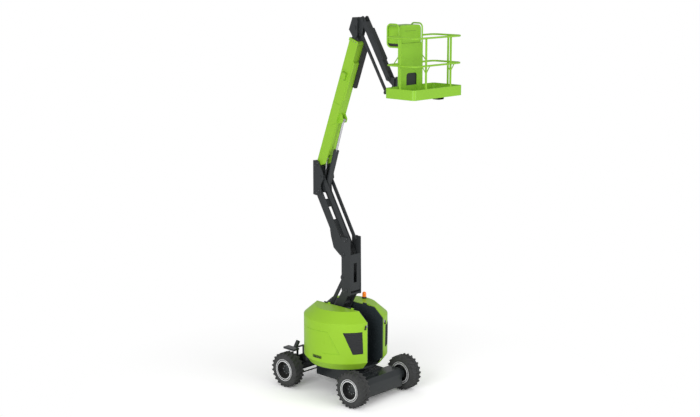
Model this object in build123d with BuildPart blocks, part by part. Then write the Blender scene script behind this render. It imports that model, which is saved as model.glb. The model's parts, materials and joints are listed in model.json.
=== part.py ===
"""Articulating boom lift: chassis, turntable with hoods, double riser, telescopic boom, jib and platform.

Millimetres. The origin is on the ground under the turntable's swing axis, +X runs towards the platform
and +Z is up. The boom lies in the plane y = 0, so the riser and boom points below are (x, z) pairs.
"""
import math
import os
from build123d import *

os.makedirs("parts", exist_ok=True)

# Running gear
WHEELBASE = 1990
TRACK = 1640
TYRE_R = 387.5
TYRE_W = 265
CARCASS_R = 362
LUGS = 22
LUG_LEAN = 24
LUG_HALF = 13
RIM_R = 205
RIM_W = 240
FLANGE_R = 245
LIP = 13
KINGPIN_Y = 600
KINGPIN_R = 20
STEER_ARM_Y = KINGPIN_Y + 15
STEER_ARM_LENGTH = 165
SPINDLE_R = 60
AXLE_HALF = 555
AXLE_TOP = 420
BEAM_BACK = 195
BEAM_FRONT = 175

# Chassis and turntable
FRAME_HALF = 340
FRAME_TOP = 560
RING_R = 430
DECK_BOTTOM = 640
DECK_TOP = 680
DECK_R = 770
SLOT_WALL_IN = 230
SLOT_WALL_OUT = 250
HOOD_IN = 256
HOOD_R = 920
HOOD_TOP_R = 680
HOOD_FOOT_R = 800
HOOD_FOOT = 665
HOOD_WALL_LOW = 820
HOOD_TOP = 1920
HOOD_SHOULDER = 210
HOOD_WALL_HIGH = HOOD_TOP - HOOD_SHOULDER
HOOD_SKIN = 16
HINGE_R = 12
HINGE_Z = HOOD_TOP + HINGE_R + 5
VENT_ANGLE = -36.4
VENT_HIGH = HOOD_WALL_HIGH - 190
VENT_LOW = HOOD_WALL_LOW + 210
VENT_OUTLINE = [(-224, VENT_HIGH), (204, VENT_HIGH), (224, VENT_LOW), (-10, VENT_LOW)]

# Riser: half gaps of the plate layers from the middle plane outwards
CYL_HALF = 50
LUG_IN = 64
LUG_OUT = 82
LINK_IN = 95
LINK_OUT = 125
ARM_IN = 130
ARM_OUT = 150
CHEEK_IN = 155
CHEEK_OUT = 175
ARM_R = 95
LINK_R = 40
PIN_R = 28
LINK_PIN_R = 20
FIT = 0.3

# Riser and boom pivots
RISER_ANGLE = 60
ARM_LENGTH = 1500
BOOM_ANGLE = 70
LOWER_LINK_STEP = (-90, 280)
UPPER_LINK_STEP = (90, 340)

# Boom section, measured from its pivot line
BOOM_HALF = 110
BOOM_UP = 55
BOOM_DOWN = -195
BOOM_WALL = 8
BOOM_END = 2880
BOOM_TUBE_FROM = 300
FLY_HALF = 85
FLY_UP = 30
FLY_DOWN = -170
FLY_WALL = 8
FLY_OUT = 150
FLY_END = BOOM_END + FLY_OUT
LEVEL_AT = FLY_END + 151

# Jib and platform
JIB_ANGLE = -59
JIB_LENGTH = 1348
JIB_LINK_STEP = (-85, -300)
JIB_HALF = 70
JIB_BACK = 70
JIB_LIP = -45
JIB_WALL = 12
JIB_LUG_IN = 30
JIB_LUG_OUT = 50
JIB_LINK_HALF = 22
JIB_LINK_R = 25
KNUCKLE_IN = 90
KNUCKLE_OUT = 110
MOUNT_REACH = 283
BRACKET_REACH = 277
PLATFORM_DROP = 306
PLATFORM_LENGTH = 751
PLATFORM_HALF = 755
FLOOR_THICK = 50
TOE_HEIGHT = 203
MID_RAIL_HEIGHT = 656
TOP_RAIL_HEIGHT = 1198
RAIL_R = 19
RAIL_CORNER = 110
TOE_CORNER = 70
TOE_THICK = 12
POST_Y = 360
HOOP_R = 16
PANEL_THICK = 12
SILL_HEIGHT = 10


def step(point, offset):
    """The point moved by an (x, z) offset."""
    return (point[0] + offset[0], point[1] + offset[1])


def along(point, length, angle):
    """The point reached from another at a length and an angle above +X."""
    turn = math.radians(angle)
    return (point[0] + length * math.cos(turn), point[1] + length * math.sin(turn))


def in_boom(u, n):
    """World (x, z) of a point u along the boom and n above its pivot line."""
    return along(along(BOOM_PIVOT, u, BOOM_ANGLE), n, BOOM_ANGLE + 90)


def rod(point, radius, y_from, y_to, mode=Mode.ADD):
    """A round bar along Y between two y values."""
    with Locations((point[0], (y_from + y_to) / 2, point[1])):
        Cylinder(radius, abs(y_to - y_from), rotation=(90, 0, 0), mode=mode)


def rod_pair(point, radius, y_in, y_out, mode=Mode.ADD):
    """The same round bar on both sides of the middle plane."""
    rod(point, radius, y_in, y_out, mode)
    rod(point, radius, -y_in, -y_out, mode)


def bar(points, radii, y_in, y_out, mode=Mode.ADD):
    """A plate in the boom plane around the points, each with its end radius, on one side or across."""
    with BuildSketch(Plane.XZ.offset(y_in)) as outline:
        for point, radius in zip(points, radii):
            with Locations(point):
                Circle(radius)
        make_hull()
    extrude(outline.sketch, amount=y_out - y_in, mode=mode)


def bar_pair(points, radii, y_in, y_out):
    """The same plate on both sides of the middle plane."""
    bar(points, radii, y_in, y_out)
    bar(points, radii, -y_out, -y_in)


def plate(outline, y_from, y_to, mode=Mode.ADD, plane=Plane.XZ):
    """A plate with a straight-edged outline in the boom plane, between two distances towards -Y."""
    with BuildSketch(plane.offset(y_from)) as face:
        Polygon(*outline, align=None)
    extrude(face.sketch, amount=y_to - y_from, mode=mode)


def plate_pair(outline, y_in, y_out, plane=Plane.XZ):
    """The same plate on both sides of the middle plane."""
    plate(outline, y_in, y_out, plane=plane)
    plate(outline, -y_out, -y_in, plane=plane)


def block(x_from, x_to, y_from, y_to, z_from, z_to, mode=Mode.ADD):
    """A box between two corners."""
    with Locations(((x_from + x_to) / 2, (y_from + y_to) / 2, (z_from + z_to) / 2)):
        Box(x_to - x_from, y_to - y_from, z_to - z_from, mode=mode)


def slab(base, angle, s_range, n_range, half, mode=Mode.ADD):
    """A block across the middle plane, between distances along and square to an angle from a base point."""
    corners = [(s_range[0], n_range[0]), (s_range[1], n_range[0]),
               (s_range[1], n_range[1]), (s_range[0], n_range[1])]
    plate([along(along(base, s, angle), n, angle + 90) for s, n in corners], -half, half, mode=mode)


def save(part, name):
    """Write a subcomponent under its own name."""
    part.label = name
    export_step(part, f"parts/{name}.step")


TOWER_PIVOT = (-590, DECK_TOP + 290)
TOWER_LINK = step(TOWER_PIVOT, LOWER_LINK_STEP)
MID_LOW = along(TOWER_PIVOT, ARM_LENGTH, RISER_ANGLE)
MID_LOW_LINK = step(MID_LOW, LOWER_LINK_STEP)
MID_HIGH = step(MID_LOW, (-80, 791))
MID_HIGH_LINK = step(MID_HIGH, UPPER_LINK_STEP)
TOP_PIVOT = along(MID_HIGH, ARM_LENGTH, 180 - RISER_ANGLE)
TOP_LINK = step(TOP_PIVOT, UPPER_LINK_STEP)
BOOM_PIVOT = step(TOP_PIVOT, (-45, 596))
LIFT_BASE = step(TOP_PIVOT, (120, 50))
LIFT_EYE = in_boom(1170, -270)
MASTER_BASE = step(TOP_PIVOT, (30, 141))
MASTER_EYE = in_boom(170, -100)
RISER_BASE = step(MID_LOW, (-130, 111))
RISER_EYE = step(MID_HIGH, (-170, 70))
LEVEL_PIVOT = in_boom(LEVEL_AT, 0)
JIB_ROOT = step(LEVEL_PIVOT, (180, 158))
JIB_ROOT_LINK = step(JIB_ROOT, JIB_LINK_STEP)
JIB_TIP = along(JIB_ROOT, JIB_LENGTH, JIB_ANGLE)
JIB_TIP_LINK = step(JIB_TIP, JIB_LINK_STEP)
ROTATOR_X = JIB_TIP[0] + MOUNT_REACH
PLATFORM_BACK = ROTATOR_X + BRACKET_REACH
PLATFORM_FRONT = PLATFORM_BACK + PLATFORM_LENGTH
PLATFORM_BOTTOM = JIB_TIP[1] - PLATFORM_DROP
FLOOR_TOP = PLATFORM_BOTTOM + FLOOR_THICK
TOE_TOP = PLATFORM_BOTTOM + TOE_HEIGHT
MID_RAIL_Z = PLATFORM_BOTTOM + MID_RAIL_HEIGHT
TOP_RAIL_Z = PLATFORM_BOTTOM + TOP_RAIL_HEIGHT
TOE_BACK = PLATFORM_BACK - 20
RAIL_BACK = TOE_BACK + RAIL_R
PANEL_X = TOE_BACK + TOE_THICK + 1
TRAY_BOTTOM = TOP_RAIL_Z - 218
CONSOLE_BOTTOM = TOP_RAIL_Z - 148
AXLE_X = WHEELBASE / 2
WHEEL_Y = TRACK / 2
BOOM_PLANE = Plane(
    origin=(BOOM_PIVOT[0], 0, BOOM_PIVOT[1]),
    x_dir=(math.cos(math.radians(BOOM_ANGLE)), 0, math.sin(math.radians(BOOM_ANGLE))),
    z_dir=(0, -1, 0),
)

# Chassis frame: the welded box between the axles, with a lower belly and a neck over the steer axle
with BuildPart() as chassis_frame:
    block(-AXLE_X + 420, AXLE_X - BEAM_BACK, -FRAME_HALF, FRAME_HALF, 260, FRAME_TOP)
    block(-AXLE_X - 150, -AXLE_X + 420, -230, 230, AXLE_TOP, FRAME_TOP)
    block(-AXLE_X - 190, -AXLE_X - 150, -330, 330, 330, FRAME_TOP)
    with Locations((0, 0, (FRAME_TOP + DECK_BOTTOM) / 2 - 20)):
        Cylinder(RING_R, DECK_BOTTOM - FRAME_TOP - 40)
save(chassis_frame.part, "chassis_frame")

# Drive axle beam: a box beam across the platform end of the chassis, its front top edge sloped
with BuildPart() as drive_axle_beam:
    plate([(AXLE_X - BEAM_BACK, 165), (AXLE_X + BEAM_FRONT, 165), (AXLE_X + BEAM_FRONT, 440),
           (AXLE_X + BEAM_FRONT - 70, FRAME_TOP - 10), (AXLE_X - BEAM_BACK, FRAME_TOP - 10)],
          -AXLE_HALF, AXLE_HALF)
save(drive_axle_beam.part, "drive_axle_beam")

# Hub drives: one planetary drive bolted to each end of the drive axle beam, its spindle in the wheel
with BuildPart() as hub_drives:
    for side in (1, -1):
        rod((AXLE_X, TYRE_R), 120, side * AXLE_HALF, side * 700)
        rod((AXLE_X, TYRE_R), SPINDLE_R, side * 700, side * 850)
save(hub_drives.part, "hub_drives")

# Steer axle: beam under the chassis neck with a yoke and a kingpin at each end
with BuildPart() as steer_axle:
    block(-AXLE_X - 60, -AXLE_X + 60, -540, 540, 300, AXLE_TOP)
    for side in (1, -1):
        block(-AXLE_X - 45, -AXLE_X + 45, min(side * 500, side * 540), max(side * 500, side * 540), 262, 512)
        for low, high in ((262, 290), (484, 512)):
            block(-AXLE_X - 45, -AXLE_X + 45, min(side * 540, side * KINGPIN_Y),
                  max(side * 540, side * KINGPIN_Y), low, high)
            with Locations((-AXLE_X, side * KINGPIN_Y, (low + high) / 2)):
                Cylinder(45, high - low)
        with Locations((-AXLE_X, side * KINGPIN_Y, 387)):
            Cylinder(KINGPIN_R, 250)
save(steer_axle.part, "steer_axle")

# Axle lock cylinders: a short ram on each side, from the chassis neck's bracket leaning inboard
with BuildPart() as lock_cylinders:
    for side in (1, -1):
        block(-AXLE_X - 120, -AXLE_X - 60, min(side * 230, side * 250), max(side * 230, side * 250), 430, 800)
        block(-AXLE_X - 120, -AXLE_X - 60, min(side * 250, side * 470), max(side * 250, side * 470), 780, 800)
        with Locations(Location((-AXLE_X - 90, side * 460, 850), (side * 35, 0, 0))):
            Cylinder(48, 190)
save(lock_cylinders.part, "lock_cylinders")


def mudguard(side):
    """A flat guard with turned-down edges over one steered tyre, on a post from the steer axle's yoke."""
    with BuildPart() as guard:
        block(-AXLE_X - 225, -AXLE_X + 113, min(side * 575, side * 740), max(side * 575, side * 740),
              2 * TYRE_R + 22, 2 * TYRE_R + 63)
        block(-AXLE_X - 217, -AXLE_X + 105, min(side * 583, side * 732), max(side * 583, side * 732),
              2 * TYRE_R + 21, 2 * TYRE_R + 55, mode=Mode.SUBTRACT)
        with BuildSketch(Plane.YZ.offset(-AXLE_X - 20)):
            Polygon((side * 505, 512), (side * 535, 512), (side * 535, 770), (side * 578, 2 * TYRE_R + 30),
                    (side * 578, 2 * TYRE_R + 60), (side * 505, 790), align=None)
        extrude(amount=40)
    return guard.part


save(mudguard(-1), "mudguard_right")
save(mudguard(1), "mudguard_left")


def knuckle(side):
    """A steering knuckle: barrel on the kingpin, steering arm behind it, spindle with its drive drum."""
    with BuildPart() as body:
        with Locations((-AXLE_X, side * KINGPIN_Y, 387)):
            Cylinder(44, 190)
        rod((-AXLE_X, TYRE_R), 80, side * KINGPIN_Y, side * 660)
        rod((-AXLE_X, TYRE_R), 120, side * 655, side * 700)
        rod((-AXLE_X, TYRE_R), SPINDLE_R, side * 700, side * 850)
        block(-AXLE_X + 20, -AXLE_X + STEER_ARM_LENGTH + 25, side * STEER_ARM_Y - 20, side * STEER_ARM_Y + 20,
              296, 324)
        with Locations((-AXLE_X, side * KINGPIN_Y, 387)):
            Cylinder(KINGPIN_R + FIT, 260, mode=Mode.SUBTRACT)
    return body.part


save(knuckle(-1), "knuckle_right")
save(knuckle(1), "knuckle_left")

# Tie rod: the bar between the two steering arms, an eye on each arm
with BuildPart() as tie_rod:
    rod((-AXLE_X + STEER_ARM_LENGTH, 278), 16, -STEER_ARM_Y + 10, STEER_ARM_Y - 10)
    for side in (1, -1):
        with Locations((-AXLE_X + STEER_ARM_LENGTH, side * STEER_ARM_Y, 278)):
            Cylinder(24, 35)
save(tie_rod.part, "tie_rod")


def lug(row):
    """One leaning lug of a row, its outer corners on the tyre's radius."""
    near = row * 8
    far = row * (TYRE_W / 2 - 4)
    shift = (1 - row) * 90 / LUGS
    with BuildPart() as bar_lug:
        with BuildSketch(Plane.XY.rotated((0, LUG_START + shift, 0)).offset(-LUG_TOP)):
            Polygon((-LUG_LEAN - LUG_HALF, near), (-LUG_LEAN + LUG_HALF, near), (LUG_LEAN + LUG_HALF, far),
                    (LUG_LEAN - LUG_HALF, far), align=None)
        extrude(amount=LUG_TOP - 310)
    return bar_lug.part


# Tyre: equal flat sectors of carcass, each with a lug of both staggered rows, a lug's corner on the ground
LUG_TOP = math.sqrt(TYRE_R ** 2 - (LUG_LEAN + LUG_HALF) ** 2)
LUG_START = math.degrees(math.atan2(LUG_LEAN + LUG_HALF, LUG_TOP))
with BuildPart() as sector:
    half = TYRE_W / 2
    with BuildSketch(Plane.YZ):
        Polygon((-half + 25, -RIM_R - FIT), (-half, -295), (-half + 22, -CARCASS_R), (half - 22, -CARCASS_R),
                (half, -295), (half - 25, -RIM_R - FIT), align=None)
    extrude(amount=CARCASS_R / 2, both=True)
    side = CARCASS_R * math.tan(math.pi / LUGS)
    with BuildSketch(Plane.XZ):
        Polygon((0, 0), (-2 * side, -2 * CARCASS_R), (2 * side, -2 * CARCASS_R), align=None)
    extrude(amount=TYRE_W, both=True, mode=Mode.INTERSECT)
with BuildPart() as tyre:
    pieces = [sector.part, lug(1), lug(-1)]
    add([piece.rotate(Axis.Y, index * 360 / LUGS) for index in range(LUGS) for piece in pieces])

# Rim: barrel with two flanges, the outer one rolled to a lip, and a wheel disc with its bore on the spindle
with BuildPart() as rim:
    with BuildSketch(Plane.XY):
        half = RIM_W / 2
        Polygon((RIM_R - 12, -half), (RIM_R, -half), (RIM_R, half), (RIM_R - 12, half), align=None)
        Polygon((RIM_R - 12, -half - 10), (FLANGE_R, -half - 10), (FLANGE_R, -half), (RIM_R - 12, -half),
                align=None)
        Polygon((RIM_R - 12, half), (FLANGE_R, half), (FLANGE_R, half + LIP), (FLANGE_R - 9, half + LIP),
                (FLANGE_R - 14, half + 5), (RIM_R + 8, half + 5), (RIM_R + 3, half + LIP),
                (RIM_R - 12, half + LIP), align=None)
        Polygon((SPINDLE_R + FIT, -30), (RIM_R - 6, -30), (RIM_R - 6, -14), (SPINDLE_R + FIT, -14),
                align=None)
    revolve(axis=Axis.Y)

for end, x in (("drive", AXLE_X), ("steer", -AXLE_X)):
    for side, y in (("right", -WHEEL_Y), ("left", WHEEL_Y)):
        turn = 0 if y > 0 else 180
        place = Location((x, y, TYRE_R), (0, 0, turn))
        save(tyre.part.moved(place), f"tyre_{end}_{side}")
        save(rim.part.moved(place), f"rim_{end}_{side}")

# Turntable deck: round plate on the moving half of the slew ring
with BuildPart() as deck:
    with Locations((0, 0, (DECK_BOTTOM + DECK_TOP) / 2)):
        Cylinder(DECK_R, DECK_TOP - DECK_BOTTOM)
    with Locations((0, 0, DECK_BOTTOM - 20 + FIT / 2)):
        Cylinder(RING_R - 40, 40 - FIT)
save(deck.part, "deck")

# Riser tower: two plates on the deck that carry the lower arm and the lower links
with BuildPart() as tower:
    for y_from in (CHEEK_IN, -CHEEK_OUT):
        with BuildSketch(Plane.XZ.offset(y_from)):
            with Locations(TOWER_PIVOT):
                Circle(105)
            with Locations(TOWER_LINK):
                Circle(75)
            with Locations((TOWER_PIVOT[0] - 10, DECK_TOP + 10)):
                Rectangle(320, 20)
            make_hull()
        extrude(amount=CHEEK_OUT - CHEEK_IN)
    rod_pair(TOWER_PIVOT, PIN_R, ARM_IN - 5, CHEEK_OUT + 12)
    rod_pair(TOWER_LINK, LINK_PIN_R, LINK_IN - 3, CHEEK_OUT + 12)
    block(TOWER_PIVOT[0] - 180, TOWER_PIVOT[0] - 160, -CHEEK_OUT, CHEEK_OUT, DECK_TOP, DECK_TOP + 180)
save(tower.part, "tower")


def slot_wall(side):
    """The fixed wall of the riser slot on one side, cut to the outline of the hood, with its hinge lugs."""
    edge = HOOD_R - 45
    with BuildPart() as wall:
        y_from = SLOT_WALL_IN if side < 0 else -SLOT_WALL_OUT
        plate([(-700, DECK_TOP), (700, DECK_TOP), (700, 700), (edge, HOOD_WALL_LOW), (edge, HOOD_WALL_HIGH),
               (HOOD_TOP_R - 55, HOOD_TOP - 8), (-HOOD_TOP_R + 55, HOOD_TOP - 8), (-edge, HOOD_WALL_HIGH),
               (-edge, HOOD_WALL_LOW), (-700, 700)], y_from, y_from + SLOT_WALL_OUT - SLOT_WALL_IN)
        for x in (-350, 350):
            block(x - 60, x + 60, min(side * (SLOT_WALL_IN + 4), side * SLOT_WALL_OUT),
                  max(side * (SLOT_WALL_IN + 4), side * SLOT_WALL_OUT), HOOD_TOP - 10, HINGE_Z)
            with Locations((x, side * SLOT_WALL_OUT, HINGE_Z)):
                Cylinder(HINGE_R, 120, rotation=(0, 90, 0))
            with Locations((x + 60 + 30, side * SLOT_WALL_OUT, HINGE_Z)):
                Cylinder(HINGE_R - 6, 64, rotation=(0, 90, 0))
    return wall.part


save(slot_wall(-1), "slot_wall_right")
save(slot_wall(1), "slot_wall_left")

# Engine and counterweight: plain heavy blocks under the hoods
with BuildPart() as engine_block:
    block(-380, 380, -640, -300, DECK_TOP, 1330)
save(engine_block.part, "engine_block")

with BuildPart() as counterweight:
    with BuildSketch(Plane.XY.offset(DECK_TOP)):
        Circle(740)
        with Locations((0, 520)):
            Rectangle(1500, 2 * (520 - SLOT_WALL_OUT), mode=Mode.INTERSECT)
    extrude(amount=560)
save(counterweight.part, "counterweight")


def vent_prism(inset, r_from, r_to):
    """The radial prism of a hood's vent, its outline moved in by an inset."""
    turn = math.radians(VENT_ANGLE)
    face = Plane(origin=(0, 0, 0), x_dir=(-math.sin(turn), math.cos(turn), 0),
                 z_dir=(math.cos(turn), math.sin(turn), 0))
    with BuildPart() as prism:
        with BuildSketch(face.offset(r_from)):
            Polygon(*VENT_OUTLINE, align=None)
            if inset:
                offset(amount=-inset, kind=Kind.INTERSECTION, mode=Mode.REPLACE)
        extrude(amount=r_to - r_from)
    return prism.part


# Hoods: half shells that open upwards about their hinge on the slot wall, with a vent on the platform side
with BuildPart() as hood_right:
    with BuildSketch(Plane.XZ):
        Polygon((0, HOOD_TOP), (HOOD_TOP_R, HOOD_TOP), (HOOD_R, HOOD_WALL_HIGH), (HOOD_R, HOOD_WALL_LOW),
                (HOOD_FOOT_R, HOOD_FOOT), (HOOD_FOOT_R - 18, HOOD_FOOT + 10),
                (HOOD_R - HOOD_SKIN, HOOD_WALL_LOW + 6), (HOOD_R - HOOD_SKIN, HOOD_WALL_HIGH - 7),
                (HOOD_TOP_R - 6, HOOD_TOP - HOOD_SKIN), (0, HOOD_TOP - HOOD_SKIN), align=None)
    revolve(axis=Axis.Z)
    block(-HOOD_R - 50, HOOD_R + 50, -HOOD_IN, HOOD_R + 50, HOOD_FOOT - 50, HOOD_TOP + 50, mode=Mode.SUBTRACT)
    add(vent_prism(0, HOOD_R - 120, HOOD_R + 80), mode=Mode.SUBTRACT)
    for x in (-350, 350):
        with Locations((x + 60 + 31, -SLOT_WALL_OUT, HINGE_Z)):
            Cylinder(HINGE_R, 60, rotation=(0, 90, 0))
        block(x + 61, x + 121, -HOOD_IN - 12, -HOOD_IN + 2, HOOD_TOP - 6, HINGE_Z)
        with Locations((x + 60 + 30, -SLOT_WALL_OUT, HINGE_Z)):
            Cylinder(HINGE_R - 6 + FIT, 80, rotation=(0, 90, 0), mode=Mode.SUBTRACT)
save(hood_right.part, "hood_right")
save(mirror(hood_right.part, about=Plane.XZ), "hood_left")

# Vents: dark panels set into the hoods
with BuildPart() as vent_right:
    with BuildSketch(Plane.XZ):
        Polygon((HOOD_R - HOOD_SKIN, 1000), (HOOD_R - 6, 1000), (HOOD_R - 6, 1550),
                (HOOD_R - HOOD_SKIN, 1550), align=None)
    revolve(axis=Axis.Z)
    add(vent_prism(0.5, HOOD_R - 120, HOOD_R + 80), mode=Mode.INTERSECT)
save(vent_right.part, "vent_right")
save(mirror(vent_right.part, about=Plane.XZ), "vent_left")

# Beacon on the left hood: base and lens
with BuildPart() as beacon:
    with Locations((0, 600, HOOD_TOP + 20)):
        Cylinder(50, 40)
    with Locations((0, 600, HOOD_TOP + 95)):
        Cylinder(46, 110)
save(beacon.part, "beacon")

# Lower arm: two plates joined by cross tubes, on the tower's pins
with BuildPart() as lower_arm:
    bar_pair([TOWER_PIVOT, MID_LOW], [ARM_R, ARM_R], ARM_IN, ARM_OUT)
    for distance in (480, 800, 1120):
        rod(along(TOWER_PIVOT, distance, RISER_ANGLE), 50, -ARM_IN - 5, ARM_IN + 5)
    for point in (TOWER_PIVOT, MID_LOW):
        rod(point, PIN_R + FIT, -200, 200, mode=Mode.SUBTRACT)
save(lower_arm.part, "lower_arm")

# Lower links: the pair of bars that keeps the mid upright plumb
with BuildPart() as lower_link:
    bar_pair([TOWER_LINK, MID_LOW_LINK], [LINK_R, LINK_R], LINK_IN, LINK_OUT)
    for point in (TOWER_LINK, MID_LOW_LINK):
        rod(point, LINK_PIN_R + FIT, -200, 200, mode=Mode.SUBTRACT)
save(lower_link.part, "lower_link")

# Mid upright: channel open to the rear, with the riser cylinder's lugs inside
MID_FOOT = step(MID_LOW, (108, -69))
MID_FRONT = MID_LOW[0] + 130
with BuildPart() as mid_upright:
    for y_from in (CHEEK_IN, -CHEEK_OUT):
        with BuildSketch(Plane.XZ.offset(y_from)):
            with Locations(step(MID_LOW, (5, 591))):
                Rectangle(250, 1180)
            with Locations(MID_LOW):
                Circle(105)
            with Locations(MID_FOOT):
                Circle(34)
            make_hull()
        extrude(amount=CHEEK_OUT - CHEEK_IN)
    for point, radius in ((MID_LOW_LINK, 60), (MID_HIGH, 70)):
        bar_pair([point, step(point, (60, 0))], [radius, radius], CHEEK_IN, CHEEK_OUT)
    block(MID_FRONT - 20, MID_FRONT, -CHEEK_IN, CHEEK_IN, MID_LOW[1], MID_HIGH[1] + 20)
    block(MID_FRONT - 30, MID_FRONT + 10, -52, 52, MID_LOW[1] + 181, MID_LOW[1] + 611, mode=Mode.SUBTRACT)
    rod(MID_FOOT, 26, -CHEEK_OUT, CHEEK_OUT)
    bar_pair([RISER_BASE, step(MID_LOW, (110, 91)), step(MID_LOW, (110, 171))], [45, 10, 10], LUG_IN, LUG_OUT)
    rod_pair(MID_LOW, PIN_R, ARM_IN - 5, CHEEK_OUT + 12)
    rod_pair(MID_HIGH, PIN_R, ARM_IN - 5, CHEEK_OUT + 12)
    rod_pair(MID_LOW_LINK, LINK_PIN_R, LINK_IN - 3, CHEEK_OUT + 12)
    rod_pair(MID_HIGH_LINK, LINK_PIN_R, LINK_IN - 3, CHEEK_OUT + 12)
    rod(RISER_BASE, LINK_PIN_R, -LUG_OUT, LUG_OUT)
save(mid_upright.part, "mid_upright")


def cylinder_tilt(base, eye):
    """Length and angle from a cylinder's base pin to its rod's eye."""
    return (math.dist(base, eye), math.degrees(math.atan2(eye[1] - base[1], eye[0] - base[0])))


def round_between(base, angle, start, end, radius, mode=Mode.ADD):
    """A round bar in the boom plane from one distance to another along an angle."""
    middle = along(base, (start + end) / 2, angle)
    with Locations(Location((middle[0], 0, middle[1]), (0, 90 - angle, 0))):
        Cylinder(radius, end - start, mode=mode)


def cylinder_barrel(base, eye, bore_from, length, radius, bore_r, eye_half):
    """The barrel of a hydraulic cylinder, with its base eye."""
    _, angle = cylinder_tilt(base, eye)
    with BuildPart() as barrel:
        round_between(base, angle, 30, length, radius)
        rod(base, max(radius * 0.8, LINK_PIN_R + 14), -eye_half, eye_half)
        rod(base, LINK_PIN_R + FIT, -200, 200, mode=Mode.SUBTRACT)
        round_between(base, angle, bore_from, length + 1, bore_r, mode=Mode.SUBTRACT)
    return barrel.part


def cylinder_rod(base, eye, start, radius, eye_r, eye_half):
    """The rod of a hydraulic cylinder, with its eye."""
    reach, angle = cylinder_tilt(base, eye)
    with BuildPart() as piston:
        round_between(base, angle, start, reach - eye_r * 0.6, radius)
        rod(eye, eye_r, -eye_half, eye_half)
        rod(eye, eye_r * 0.5, -eye_half, eye_half, mode=Mode.SUBTRACT)
    return piston.part


# Riser cylinder between the mid upright and the heel of the upper arm
save(cylinder_barrel(RISER_BASE, RISER_EYE, 90, 480, CYL_HALF, 25 + FIT, LUG_IN - 4), "riser_barrel")
save(cylinder_rod(RISER_BASE, RISER_EYE, 300, 25, 38, 38), "riser_rod")

# Upper arm: two plates with a deep heel, joined by two cross plates
HEEL = [step(MID_HIGH, corner) for corner in ((-410, 500), (-380, 350), (-302, 112), (-110, -30), (40, 0),
                                              (-230, 500))]
with BuildPart() as upper_arm:
    bar_pair([MID_HIGH, TOP_PIVOT], [ARM_R, ARM_R], ARM_IN, ARM_OUT)
    plate_pair(HEEL, ARM_IN, ARM_OUT)
    for s_range in ((450, 815), (1115, 1300)):
        slab(MID_HIGH, 180 - RISER_ANGLE, s_range, (5, 23), ARM_IN + 5)
    rod_pair(RISER_EYE, 24, 46, ARM_IN + 5)
    for point in (MID_HIGH, TOP_PIVOT):
        rod(point, PIN_R + FIT, -200, 200, mode=Mode.SUBTRACT)
save(upper_arm.part, "upper_arm")

# Upper links: the pair of bars that keeps the upper upright plumb
with BuildPart() as upper_link:
    bar_pair([MID_HIGH_LINK, TOP_LINK], [LINK_R, LINK_R], LINK_IN, LINK_OUT)
    for point in (MID_HIGH_LINK, TOP_LINK):
        rod(point, LINK_PIN_R + FIT, -200, 200, mode=Mode.SUBTRACT)
save(upper_link.part, "upper_link")

# Upper upright: two cheeks and a back plate, with lugs inside for the lift and levelling cylinders
CHEEK = [step(TOP_PIVOT, corner) for corner in ((-137, 677), (4, 674), (143, 412), (160, 288), (80, 150),
                                                (95, -55), (-36, -93), (-143, -81))]
LUG_PLATE = [step(TOP_PIVOT, corner) for corner in ((-130, 1), (-130, 231), (10, 201), (60, 181), (180, 81),
                                                    (180, 21), (120, -9), (-30, -9))]
with BuildPart() as upper_upright:
    plate_pair(CHEEK, CHEEK_IN, CHEEK_OUT)
    block(TOP_PIVOT[0] - 143, TOP_PIVOT[0] - 125, -CHEEK_OUT, CHEEK_OUT,
          TOP_PIVOT[1] - 81, TOP_PIVOT[1] + 671)
    plate_pair(LUG_PLATE, LUG_IN, LUG_OUT)
    rod_pair(TOP_PIVOT, PIN_R, ARM_IN - 5, CHEEK_OUT + 12)
    rod_pair(TOP_LINK, LINK_PIN_R, LINK_IN - 3, CHEEK_OUT + 12)
    rod_pair(BOOM_PIVOT, PIN_R, BOOM_HALF - 28, CHEEK_OUT + 12)
    rod(LIFT_BASE, LINK_PIN_R, -LUG_OUT, LUG_OUT)
    rod(MASTER_BASE, LINK_PIN_R, -LUG_OUT, LUG_OUT)
save(upper_upright.part, "upper_upright")

# Lift cylinder and master levelling cylinder of the boom
save(cylinder_barrel(LIFT_BASE, LIFT_EYE, 90, 910, 60, 25 + FIT, LUG_IN - 2), "lift_barrel")
save(cylinder_rod(LIFT_BASE, LIFT_EYE, 700, 25, 38, 38), "lift_rod")
save(cylinder_barrel(MASTER_BASE, MASTER_EYE, 60, 330, 30, 15 + FIT, 40), "master_barrel")
save(cylinder_rod(MASTER_BASE, MASTER_EYE, 288, 15, 24, 24), "master_rod")

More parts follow.
